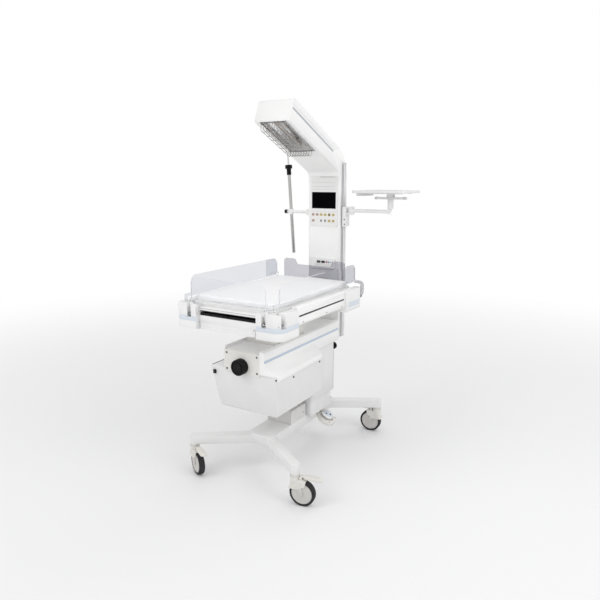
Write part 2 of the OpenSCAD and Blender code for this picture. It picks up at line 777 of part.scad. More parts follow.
module reflector() {
  w = open_w/2;
  h = open_h;
  color("silver") head_at() along_y(9, 9 + open_l) polygon([[-w, 3], [-w, h*0.35], [-w*0.72, h*0.8], [-w*0.3, h], [w*0.3, h],
    [w*0.72, h*0.8], [w, h*0.35], [w, 3], [w - 2, 3], [w - 2, h*0.35], [w*0.72 - 1.5, h*0.8 - 2], [w*0.3 - 1, h - 3],
    [1 - w*0.3, h - 3], [1.5 - w*0.72, h*0.8 - 2], [2 - w, h*0.35], [2 - w, 3]]);
}

module heater_tubes() {
  color("dimgray") head_at() for (x = [-open_w/5, open_w/5]) {
    translate([x, 9 + open_l - 2, open_h*0.5]) rotate([90, 0, 0]) cylinder(d = tube_d, h = open_l - 4);
    for (y = [9, 9 + open_l - 12]) box([x - 13, y, open_h*0.5 - 9], [x + 13, y + 12, open_h*0.5 + 16]);
  }
}

// One long guard wire: down from the rim, round, along, round and back up to the rim
module guard_wire(x, y0, y1, h, r) {
  translate([x, y0, -h + r]) cylinder(d = wire_d, h = h - r);
  translate([x, y1, -h + r]) cylinder(d = wire_d, h = h - r);
  translate([x, y1 - r, -h]) rotate([90, 0, 0]) cylinder(d = wire_d, h = y1 - y0 - 2*r);
  translate([x, y0 + r, -h + r]) rotate([0, 90, 0]) rotate([0, 0, 180]) mirror([1, 0, 0]) rotate_extrude(angle = 90)
    translate([r, 0]) circle(d = wire_d, $fn = 16);
  translate([x, y1 - r, -h + r]) rotate([0, 90, 0]) rotate_extrude(angle = 90)
    translate([r, 0]) circle(d = wire_d, $fn = 16);
}

module wire_guard() {
  g = (open_w - 12)/(guard_n - 1);
  color("silver") head_at() {
    for (i = [0:guard_n - 1]) guard_wire(-open_w/2 + 6 + i*g, 14, 4 + open_l, guard_h, 9);
    for (i = [0:6]) translate([-open_w/2 + 4, 34 + i*(open_l - 50)/6, -guard_h - wire_d + 0.6]) rotate([0, 90, 0])
      cylinder(d = wire_d, h = open_w - 8);
    for (y = [14, 4 + open_l]) translate([-open_w/2 - 3, y, -wire_d/2]) rotate([0, 90, 0]) cylinder(d = wire_d, h = open_w + 6);
  }
}

// Dovetail jaw on the right rail, from z0 to z1, reaching out to x1
module rail_jaw(z0, z1, x1) {
  difference() {
    box([col_w/2 + rail_t - 3, rail_y - rail_w/2 - 7, z0], [x1, rail_y + rail_w/2 + 7, z1]);
    box([col_w/2, rail_y - rail_w/2, z0 - 1], [col_w/2 + rail_t, rail_y + rail_w/2, z1 + 1]);
  }
}

module rail_clamps() {
  x1 = col_w/2 + rail_t + 18;
  color("lightslategray") {
    difference() {
      union() {
        mirror([1, 0, 0]) rail_jaw(iv_z - 17, iv_z + 17, x1);
        translate([-x1 + 1, rail_y, iv_z]) rotate([0, -90, 0]) cylinder(d = 17, h = iv_x - x1);
        translate([-iv_x, rail_y, iv_z]) rotate([0, -iv_lean, 0]) translate([0, 0, -15]) cylinder(d = iv_d + 9, h = 30);
        translate([-iv_x, rail_y, iv_z]) rotate([0, -90, 0]) cylinder(d = 15, h = iv_d/2 + 14);
      }
      translate([-iv_x, rail_y, iv_z]) rotate([0, -iv_lean, 0]) translate([0, 0, -60]) cylinder(d = iv_d, h = 120);
      translate([-iv_x - iv_d/2 + 1, rail_y, iv_z]) rotate([0, -90, 0]) cylinder(d = 8 + 2*run_c, h = 40);
    }
    difference() {
      union() {
        rail_jaw(arm_z + 22 - jaw_h, arm_z + 22, x1);
        box([x1 - 2, rail_y - 12, arm_z - 22], [arm_px - 4, rail_y + 12, arm_z - 12.5]);
        box([x1 - 2, rail_y - 12, arm_z + 12.5], [arm_px - 4, rail_y + 12, arm_z + 22]);
        translate([arm_px, rail_y, arm_z - 22]) cylinder(d = 30, h = 9.5);
        translate([arm_px, rail_y, arm_z + 12.5]) cylinder(d = 30, h = 9.5);
        translate([arm_px, rail_y, arm_z - 24]) cylinder(d = 10, h = 48);
      }
    }
  }
}

// Frame of the leaning pole, its clamp at the origin
module at_pole() {
  translate([-iv_x, rail_y, iv_z]) rotate([0, -iv_lean, 0]) children();
}

module iv_tube() {
  up = iv_l - iv_low;
  color("silver") at_pole() difference() {
    translate([0, 0, -iv_low]) cylinder(d = iv_d, h = iv_l);
    translate([0, 0, -iv_low + 6]) cylinder(d = iv_d - 2*iv_t, h = iv_l);
  }
  color("#1a1a1a") at_pole() difference() {
    union() {
      translate([0, 0, up - 2]) cylinder(d = iv_d + 7, h = collar_h - 14);
      translate([0, 0, up + collar_h - 20]) cylinder(d = iv_d + 22, h = 20);
    }
    translate([0, 0, up - 3]) cylinder(d = drip_d + 2*run_c, h = collar_h + 6);
  }
}

module iv_rod() {
  up = iv_l - iv_low + collar_h + drip_up;
  low = iv_l - iv_low - drip_low;
  color("silver") at_pole() {
    translate([0, 0, low]) cylinder(d = drip_d, h = up - low);
    translate([0, 0, up - 10]) rotate([90, 0, 0]) for (s = [0, 1]) mirror([s, 0, 0]) {
      translate([14, 0]) rotate([0, 0, 180]) rotate_extrude(angle = 180) translate([12, 0]) circle(d = 5, $fn = 16);
      translate([26, 0]) rotate([-90, 0, 0]) cylinder(d = 5, h = 8);
    }
  }
}

module iv_knob() {
  color("#1a1a1a") translate([-iv_x - iv_d/2 - 1, rail_y, iv_z]) rotate([0, -90, 0]) {
    cylinder(d = 8, h = 30);
    difference() {
      translate([0, 0, 14]) cylinder(d = 24, h = 18);
      for (i = [0:7]) rotate([0, 0, i*45]) translate([14.5, 0, 13]) cylinder(d = 8, h = 20);
    }
  }
}

module shelf_arm() {
  px = arm_px;
  ex = arm_px + arm_l;
  post = tray_top - tray_h - 34;
  color("whitesmoke") difference() {
    union() {
      translate([px, rail_y, arm_z - 12]) cylinder(d = 32, h = 24);
      translate([px + 8, rail_y, arm_z]) rotate([0, 90, 0]) cylinder(d = arm_d, h = arm_l - 22);
      translate([ex - 16, rail_y, arm_z + 16]) rotate([90, 0, 0]) rotate([0, 0, -90]) rotate_extrude(angle = 90)
        translate([16, 0]) circle(d = arm_d);
      translate([ex, rail_y, arm_z + 15]) cylinder(d = arm_d + 12, h = post - arm_z - 15);
      translate([0, 0, post]) linear_extrude(12) link2([ex - 80, rail_y], 12, [ex + 80, rail_y], 12);
      translate([ex, rail_y, post]) cylinder(d = 16, h = 28);
    }
    translate([px, rail_y, arm_z - 30]) cylinder(d = 10 + 2*run_c, h = 60);
  }
}

module shelf_tray() {
  ex = arm_px + arm_l;
  near = ex - tray_off - tray_l/2;
  post = tray_top - tray_h - 34;
  color("whitesmoke") difference() {
    union() {
      translate([ex - tray_off, rail_y, tray_top - tray_h]) linear_extrude(tray_h) round_rect(tray_l, tray_d, 18);
      translate([ex, rail_y, post + 12.3]) cylinder(d = 44, h = 34 - 12.3);
      box([near + 6, rail_y - 70, tray_top - tray_h - 16], [near + 46, rail_y + 70, tray_top - tray_h]);
    }
    translate([ex - tray_off, rail_y, tray_top - tray_h + 4]) linear_extrude(tray_h) round_rect(tray_l - 8, tray_d - 8, 15);
    translate([ex, rail_y, post]) cylinder(d = 16 + 2*run_c, h = 28.3);
  }
}

module bed_frame() {
  x = bed_x - edge_w;
  color("white") difference() {
    union() {
      box([-x, -bed_front, bed_z], [x, bed_back, deck_top]);
      both() along_y(-bed_front + 24, bed_back - 20) polygon([[x, bed_z + 6], [x + 6, bed_z], [bed_x - 8, bed_z], [bed_x, bed_z + 10],
        [bed_x, bed_z + edge_h - 8], [bed_x - 6, bed_z + edge_h], [x + 3, bed_z + edge_h], [x, bed_z + edge_h - 3]]);
      box([-slot_w/2 - 4, -bed_front, bed_z - 41], [slot_w/2 + 4, -bed_front + 16, bed_z]);
      for (s = [-1, 1]) along_x(s*(neck_w/2 + 1 + lug_t/2) - lug_t/2, s*(neck_w/2 + 1 + lug_t/2) + lug_t/2) {
        translate([-pivot_y, pivot_z]) circle(r = pin_r + 10);
        polygon([[-pivot_y - pin_r - 10, pivot_z], [-pivot_y + pin_r + 10, pivot_z], [-pivot_y + 70, bed_z + 1],
          [-pivot_y - 70, bed_z + 1]]);
      }
    }
    box([-slot_w/2, -bed_front - 1, bed_z + slot_z], [slot_w/2, -bed_front + slot_d, bed_z + slot_z + slot_h]);
    both() box([bed_x - 14, -bed_front + 138, bed_z + 41.5], [bed_x + 1, 26, bed_z + 49.5]);
    translate([-neck_w, -pivot_y, pivot_z]) rotate([0, 90, 0]) cylinder(d = pin_d + 2*run_c, h = 2*neck_w);
    for (i = [0, 1]) box([-slot_w/2 - 5, -bed_front - 1, bed_z - 12 - i*16], [slot_w/2 + 5, -bed_front + 1.5, bed_z - 10 - i*16]);
    both() cap_room();
  }
}

// Plan of a cap at the front right, out to the corner
module cap_plan() {
  difference() {
    polygon(concat([[cap_x - cap_w, -cap_front], [cap_x - cap_r, -cap_front]],
      arc([cap_x - cap_r, -cap_front + cap_r], cap_r, -90, 0, 10),
      [[cap_x, -cap_front + cap_l], [bed_x - edge_w - 8, -cap_front + cap_l], [cap_x - cap_w, -bed_front + 30]]));
  }
}

// Plan of a cap at the rear right
module rear_plan() {
  polygon(concat([[bed_x - edge_w - 8, 34], [cap_x, 34], [cap_x, bed_back - 30]],
    arc([cap_x - 28, bed_back - 28], 28, 0, 90, 6), [[bed_x - 100, bed_back], [bed_x - 100, bed_back - 30], [bed_x - edge_w - 8, bed_back - 60]]));
}

// Room that the caps fill in the bed frame
module cap_room() {
  translate([0, 0, bed_z - 100]) linear_extrude(200 + deck_h) cap_plan();
  translate([0, 0, bed_z - 100]) linear_extrude(200 + deck_h) rear_plan();
}

module leg_slots() {
  fx = foot_leg_x;
  box([fx - leg_gap/2, -cap_front - 1, hinge_z - 12], [fx + leg_gap/2, -foot_y + 8, deck_top + 60]);
  box([pane_x - 8, side_leg_y - leg_gap/2, hinge_z - 12], [cap_x + 1, side_leg_y + leg_gap/2, deck_top + 60]);
}

module band_ring(h0, d) {
  translate([0, 0, h0]) linear_extrude(d) intersection() {
    cap_plan();
    difference() {
      polygon([[cap_x - cap_w, -cap_front - 1], [cap_x + 1, -cap_front - 1], [cap_x + 1, -cap_front + cap_l],
        [cap_x - cap_w, -cap_front + cap_l]]);
      polygon(concat([[cap_x - cap_w - 1, -cap_front + 2], [cap_x - cap_r, -cap_front + 2]],
        arc([cap_x - cap_r, -cap_front + cap_r], cap_r - 2, -90, 0, 10), [[cap_x - 2, -cap_front + cap_l + 1],
        [cap_x - cap_w - 1, -cap_front + cap_l + 1]]));
    }
  }
}

module corner_caps() {
  color("white") both() difference() {
    union() {
      translate([0, 0, cap_z]) linear_extrude(cap_h) cap_plan();
      translate([0, 0, cap_z + 16]) linear_extrude(cap_h - 12) rear_plan();
    }
    leg_slots();
    band_ring(band_z, band_h);
    box([cap_x - 2, 66, band_z - 2], [cap_x + 1, bed_back - 30, band_z + band_h + 2]);
    translate([hinge_x, side_leg_y + leg_gap, hinge_z]) rotate([90, 0, 0]) cylinder(d = hinge_d, h = 2*leg_gap);
    translate([hinge_x, bed_back + 1, hinge_z]) rotate([90, 0, 0]) cylinder(d = hinge_d, h = 12);
    translate([foot_leg_x - leg_gap, -hinge_front, hinge_z]) rotate([0, 90, 0]) cylinder(d = hinge_d, h = 2*leg_gap);
    box([pane_x - 8, -bed_front + 20, deck_top - 2], [pane_x + 5, bed_back + 1, deck_top + 60]);
    box([0, -bed_front - 4, deck_top], [pane_x, bed_back + 1, deck_top + 60]);
  }
}

module accent_bands() {
  color("lightblue") both() {
    difference() {
      band_ring(band_z, band_h);
      leg_slots();
    }
    box([cap_x - 2, 66, band_z - 2], [cap_x, bed_back - 30, band_z + band_h + 2]);
  }
}

module mattress_pan() {
  w = mat_w + 8;
  color("linen") difference() {
    translate([0, mat_y, pan_z]) linear_extrude(pan_h) round_rect(w, mat_l + 8, 24);
    for (i = [0:2]) translate([0, mat_y, pan_z + 4 + i*5]) linear_extrude(1) difference() {
      round_rect(w + 4, mat_l + 12, 26);
      round_rect(w - 2, mat_l + 6, 23);
    }
  }
}

// Loop of a round-cornered rectangle at one height
function loop(hw, hl, r, z, n) = [for (q = [0:3], i = [0:n - 1])
  let (a = q*90 + 90*i/(n - 1), sx = (q == 0 || q == 3) ? 1 : -1, sy = (q < 2) ? 1 : -1)
  [sx*(hw - r) + r*cos(a), sy*(hl - r) + r*sin(a), z]];

module mattress() {
  n = 12;
  p = 4*n;
  hw = mat_w/2;
  hl = mat_l/2;
  lv = [[7, 0], [2.5, 1.5], [0.5, 6], [0, mat_t*0.45], [0.8, mat_t*0.7], [3, mat_t - 4.5], [7, mat_t - 1.8], [13, mat_t - 0.6],
    [24, mat_t], [50, mat_t + mat_crown*0.35], [90, mat_t + mat_crown*0.7], [150, mat_t + mat_crown*0.93],
    [205, mat_t + mat_crown]];
  pts = [for (l = lv) each loop(hw - l[0], hl - l[0], max(26 - l[0], 8), l[1], n)];
  k = len(lv);
  walls = [for (j = [0:k - 2], i = [0:p - 1]) each
    [[j*p + i, j*p + (i + 1)%p, (j + 1)*p + (i + 1)%p], [j*p + i, (j + 1)*p + (i + 1)%p, (j + 1)*p + i]]];
  floor = [[for (i = [0:p - 1]) p - 1 - i]];
  roof = [[for (i = [0:p - 1]) (k - 1)*p + i]];
  color("white") translate([0, mat_y, mat_z]) rotate([0, 0, 0]) polyhedron(pts, [for (f = concat(walls, floor, roof)) [for (m = [len(f) - 1:-1:0]) f[m]]]);
}

module hinge_pins() {
  color("silver") both() {
    translate([hinge_x, side_leg_y + leg_gap/2 + 6, hinge_z]) rotate([90, 0, 0]) cylinder(d = hinge_d, h = leg_gap + 12);
    translate([hinge_x, back_leg_y + 14, hinge_z]) rotate([90, 0, 0]) cylinder(d = hinge_d, h = back_leg_y + 14 - bed_back + 11);
    translate([foot_leg_x - leg_gap/2 - 6, -hinge_front, hinge_z]) rotate([0, 90, 0]) cylinder(d = hinge_d, h = leg_gap + 12);
  }
}

// Outline of a panel, lower edge at v0, upper edge at v1, with round upper corners
module pane_outline(u0, u1, v0, v1, r) {
  polygon(concat([[u0, v0], [u1, v0]], arc([u1 - r, v1 - r], r, 0, 90, 8), arc([u0 + r, v1 - r], r, 90, 180, 8)));
}

// Curved arm at the head end of a side panel, from the panel out and down to its hinge
module back_arm() {
  a = [hinge_x - 7, pane_z - 16];
  polygon(concat([[pane_x - pane_t/2, pane_z + 10]], arc(a, 26, 90, 0, 8), [[hinge_x + 19, hinge_z + 22], [hinge_x + 5, hinge_z + 22]],
    arc(a, 12, 0, 90, 6), [[pane_x - pane_t/2, pane_z - 4]]));
  link2([hinge_x + 12, hinge_z + 22], 7, [hinge_x, hinge_z], 8.5);
}

module side_pane() {
  t = pane_t/2;
  l = leg_gap/2 - 3;
  color("lightgray") difference() {
    union() {
      along_x(pane_x - t, pane_x + t) {
        pane_outline(pane_front, pane_back, pane_z, pane_top, pane_r);
        translate([side_leg_y - l, pane_z]) square([pane_front + pane_r - side_leg_y + l, 16]);
        translate([pane_back - pane_r, pane_z]) square([back_leg_y + 9 - pane_back + pane_r, 16]);
      }
      box([pane_x - t, side_leg_y - l, hinge_z - 6], [pane_x + t, side_leg_y + l, pane_z + 1]);
      along_y(side_leg_y - l, side_leg_y + l) {
        translate([pane_x - t, hinge_z - 6]) square([hinge_x - pane_x + t, 12]);
        translate([hinge_x, hinge_z]) circle(r = 6);
      }
      along_y(back_leg_y - 8, back_leg_y + 9) back_arm();
    }
    translate([hinge_x, 400, hinge_z]) rotate([90, 0, 0]) cylinder(d = hinge_d + 2*run_c, h = 1200);
  }
}

module side_panel_right() {
  side_pane();
}

module side_panel_left() {
  mirror([1, 0, 0]) side_pane();
}

module foot_panel() {
  t = pane_t/2;
  l = leg_gap/2 - 3;
  color("lightgray") difference() {
    union() {
      along_y(-foot_y - t, -foot_y + t) pane_outline(-foot_w/2, foot_w/2, pane_z - 8, pane_top, pane_r);
      for (x = [-foot_leg_x, foot_leg_x]) {
        box([x - l, -foot_y - t, hinge_z - 6], [x + l, -foot_y + t, pane_z]);
        along_x(x - l, x + l) {
          translate([-hinge_front, hinge_z - 6]) square([hinge_front - foot_y + t, 12]);
          translate([-hinge_front, hinge_z]) circle(r = 6);
        }
      }
    }
    translate([-400, -hinge_front, hinge_z]) rotate([0, 90, 0]) cylinder(d = hinge_d + 2*run_c, h = 800);
  }
}

module head_panel() {
  y = bed_back;
  m = hp_w/2;
  color("thistle") difference() {
    along_y(y, y + pane_t) {
      polygon(concat([[-m, bed_z + 12], [m, bed_z + 12]], arc([m - 18, pane_top - 12], 18, 0, 90, 6),
        arc([m - hp_ear + 18, pane_top - 12], 18, 90, 170, 6), [[m - hp_ear - 10, pane_top - 26], [-m + hp_ear + 10, pane_top - 26]],
        arc([-m + hp_ear - 18, pane_top - 12], 18, 10, 90, 6), arc([18 - m, pane_top - 12], 18, 90, 180, 6)));
    }
  }
}

module xray_tray() {
  w = slot_w/2 - 4;
  z = bed_z + slot_z;
  color("darkgray") difference() {
    union() {
      box([-w, -bed_front + 3, z], [w, -bed_front + slot_d - 30, z + 3]);
      box([-w, -bed_front + 3, z], [w, -bed_front + 7, z + 12]);
      box([-w, -bed_front + slot_d - 34, z], [w, -bed_front + slot_d - 30, z + 12]);
      both() box([w - 4, -bed_front + 3, z], [w, -bed_front + slot_d - 30, z + 12]);
    }
    translate([0, -bed_front, z + 12]) rotate([-90, 0, 0]) cylinder(d = 12, h = 10);
  }
}

base_frame();
power_box();
pedestal();
lift_cylinder();
foot_switch();
foot_rocker();
at_caster(caster_x, -caster_y, swivel_fr) caster_fork();  // fork_fr
at_caster(caster_x, -caster_y, swivel_fr) caster_tyre();  // tyre_fr
at_caster(caster_x, -caster_y, swivel_fr) caster_hub();  // hub_fr
at_caster(caster_x, -caster_y, swivel_fr) caster_brake();  // brake_fr
at_caster(caster_x, caster_y, swivel_rr) caster_fork();  // fork_rr
at_caster(caster_x, caster_y, swivel_rr) caster_tyre();  // tyre_rr
at_caster(caster_x, caster_y, swivel_rr) caster_hub();  // hub_rr
at_caster(caster_x, caster_y, swivel_rr) caster_brake();  // brake_rr
at_caster(-caster_x, -caster_y, swivel_fl) caster_fork();  // fork_fl
at_caster(-caster_x, -caster_y, swivel_fl) caster_tyre();  // tyre_fl
at_caster(-caster_x, -caster_y, swivel_fl) caster_hub();  // hub_fl
at_caster(-caster_x, -caster_y, swivel_fl) caster_brake();  // brake_fl
at_caster(-caster_x, caster_y, swivel_rl) caster_fork();  // fork_rl
at_caster(-caster_x, caster_y, swivel_rl) caster_tyre();  // tyre_rl
at_caster(-caster_x, caster_y, swivel_rl) caster_hub();  // hub_rl
at_caster(-caster_x, caster_y, swivel_rl) caster_brake();  // brake_rl
lift_shroud();
lift_rod();
chassis_beam();
tub();
front_plate();
side_cover_right();
side_cover_left();
side_stripes();
neck();
tilt_pin();
rear_bumper();
column_housing();
control_panel();
display();
keys();
side_rails();
port_module();
reflector();
heater_tubes();
wire_guard();
rail_clamps();
iv_tube();
bed_frame();
corner_caps();
accent_bands();
mattress_pan();
mattress();
hinge_pins();
head_panel();
xray_tray();
side_panel_left();
side_panel_right();
foot_panel();
tilt_knob();
iv_rod();
iv_knob();
shelf_arm();
shelf_tray();
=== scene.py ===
import math
import bmesh
import bpy
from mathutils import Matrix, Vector


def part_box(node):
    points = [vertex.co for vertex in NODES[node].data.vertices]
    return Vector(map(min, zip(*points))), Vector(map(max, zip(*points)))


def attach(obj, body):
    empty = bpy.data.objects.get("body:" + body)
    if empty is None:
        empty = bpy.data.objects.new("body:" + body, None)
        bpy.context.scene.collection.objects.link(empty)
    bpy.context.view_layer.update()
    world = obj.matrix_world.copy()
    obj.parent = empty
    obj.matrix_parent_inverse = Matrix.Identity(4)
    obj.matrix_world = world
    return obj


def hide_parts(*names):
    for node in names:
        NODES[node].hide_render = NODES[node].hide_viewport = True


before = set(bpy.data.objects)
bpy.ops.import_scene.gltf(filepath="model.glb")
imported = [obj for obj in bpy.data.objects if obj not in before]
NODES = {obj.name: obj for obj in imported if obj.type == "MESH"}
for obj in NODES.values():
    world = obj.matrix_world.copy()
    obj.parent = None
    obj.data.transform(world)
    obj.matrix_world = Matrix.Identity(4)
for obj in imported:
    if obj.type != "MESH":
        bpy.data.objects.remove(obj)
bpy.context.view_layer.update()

# Sizes are in millimetres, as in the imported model: X across, the foot end of the bed at -Y, Z up.
RIGHT, LEFT, BACK, FRONT, UP, DOWN = (1, 0, 0), (-1, 0, 0), (0, 1, 0), (0, -1, 0), (0, 0, 1), (0, 0, -1)
SIDES = (-1, 1)
TURN = 2*math.pi
# Middle of the accessory rails, behind the middle of the base
RAIL_Y = 385
# Underside of the legs
LEG_Z = 157
# Caster stems, each with its heading in degrees; a wheel trails its stem, and its axle lies at AXLE_Z
CASTERS = {"fr": (305, -470, 9), "rr": (305, 470, 184), "fl": (-305, -470, -28), "rl": (-305, 470, 200)}
TRAIL, AXLE_Z = 38, 62.5
# The heater head rises towards the foot end of the bed, and its toe is the front edge of its underside
TOE_Y, TOE_Z = -185.6, 1764.1
HEAD_SLOPE = math.radians(24)
HEAD_C, HEAD_S = math.cos(HEAD_SLOPE), math.sin(HEAD_SLOPE)
# The drip pole leans sideways about a point on the rails' middle plane
POLE_X, POLE_Z = -245, 1305
POLE_LEAN = math.radians(4)
POLE_AXIS = (-math.sin(POLE_LEAN), 0, math.cos(POLE_LEAN))
# Top of the sloping foot switch
SWITCH_AT = (75, 188, 183)
SWITCH_SLOPE = math.radians(25)
SWITCH_C, SWITCH_S = math.cos(SWITCH_SLOPE), math.sin(SWITCH_SLOPE)
SWITCH_AXIS = (SWITCH_S, 0, SWITCH_C)


def head(x, s, t):
    """A point in the sloping head's own frame: across, along its underside, and up from it."""
    return (x, TOE_Y + s*HEAD_C + t*HEAD_S, TOE_Z - s*HEAD_S + t*HEAD_C)


def pole(along, across=0):
    """A point in the leaning pole's own frame."""
    return (POLE_X + POLE_AXIS[0]*along + across*POLE_AXIS[2], RAIL_Y,
            POLE_Z + POLE_AXIS[2]*along - across*POLE_AXIS[0])


def switch(x, y, z):
    """A point in the sloping foot switch's own frame."""
    return (SWITCH_AT[0] + x*SWITCH_C + z*SWITCH_S, SWITCH_AT[1] + y, SWITCH_AT[2] - x*SWITCH_S + z*SWITCH_C)


# ---------------------------------------------------------------- materials
def set_input(tree, socket, value):
    """Links another node's output to an input, or sets the input's value."""
    if isinstance(value, bpy.types.NodeSocket):
        tree.links.new(value, socket)
    else:
        socket.default_value = value


def add_node(tree, kind, inputs=(), **settings):
    node = tree.nodes.new("ShaderNode" + kind)
    for key, value in settings.items():
        setattr(node, key, value)
    for key, value in dict(inputs).items():
        set_input(tree, node.inputs[key], value)
    return node


def material(name, color, rough, metal=0.0, var=0.02, var_scale=9.0, grain=900.0, bump=0.12, streak=(1, 1, 1),
             rough_var=0.06, spec=0.5, sheen=0.0, trans=0.0, ior=1.45, corner_shade=0.0, speck=0.0, wave=None):
    """A surface with colour drift, a fine grain, uneven gloss and, where asked, painted shade in the corners."""
    m = bpy.data.materials.new(name)
    m.use_nodes = True
    tree = m.node_tree
    coords = add_node(tree, "TexCoord").outputs["Object"]
    streaked = add_node(tree, "Mapping", {"Vector": coords, "Scale": streak}).outputs["Vector"]

    def noise(scale, detail, vector):
        return add_node(tree, "TexNoise", {"Scale": scale, "Detail": detail, "Vector": vector}).outputs["Fac"]

    def spread(value, low, high, start=0.3, end=0.7):
        """Maps a value from start..end to low..high."""
        return add_node(tree, "MapRange", {"Value": value, "From Min": start, "From Max": end, "To Min": low,
                                           "To Max": high}).outputs["Result"]

    def mix(factor, a, b):
        node = add_node(tree, "Mix", {"Factor": factor}, data_type="RGBA")
        for key, value in (("A", a), ("B", b)):
            set_input(tree, next(i for i in node.inputs if i.name == key and i.type == "RGBA"), value)
        return next(o for o in node.outputs if o.type == "RGBA")

    def shade(factor):
        return tuple(min(1.0, max(0.0, c*factor)) for c in color) + (1,)

    base = mix(spread(noise(var_scale, 4, coords), 0, 1), shade(1 - var), shade(1 + var))
    if speck:
        base = mix(spread(noise(grain*0.35, 2, coords), 0, speck, 0.62, 0.75), base, shade(0.45))
    # Painted shade: the colour darkens towards a darker copy where ambient occlusion finds nearby faces, in corners
    # and crevices.
    if corner_shade:
        corner = add_node(tree, "AmbientOcclusion", {"Distance": 0.02}, samples=4).outputs["AO"]
        base = mix(spread(corner, corner_shade, 0, 0.15, 0.85), base, shade(0.52))
    height = noise(grain, 3, streaked)
    gloss = spread(noise(var_scale*3, 3, streaked), rough - rough_var, rough + rough_var)
    if wave:
        bands, scale, weight = wave
        ripple = add_node(tree, "TexWave", {"Scale": scale, "Vector": coords}, bands_direction=bands).outputs["Fac"]
        height = add_node(tree, "Math", {0: ripple, 1: weight, 2: height}, operation="MULTIPLY_ADD").outputs[0]
    normal = add_node(tree, "Bump", {"Strength": bump, "Distance": 0.0004, "Height": height}).outputs["Normal"]
    for key, value in (("Base Color", base), ("Roughness", gloss), ("Normal", normal), ("Metallic", metal),
                       ("IOR", ior), ("Specular IOR Level", spec), ("Sheen Weight", sheen),
                       ("Transmission Weight", trans)):
        set_input(tree, tree.nodes["Principled BSDF"].inputs[key], value)
    return m


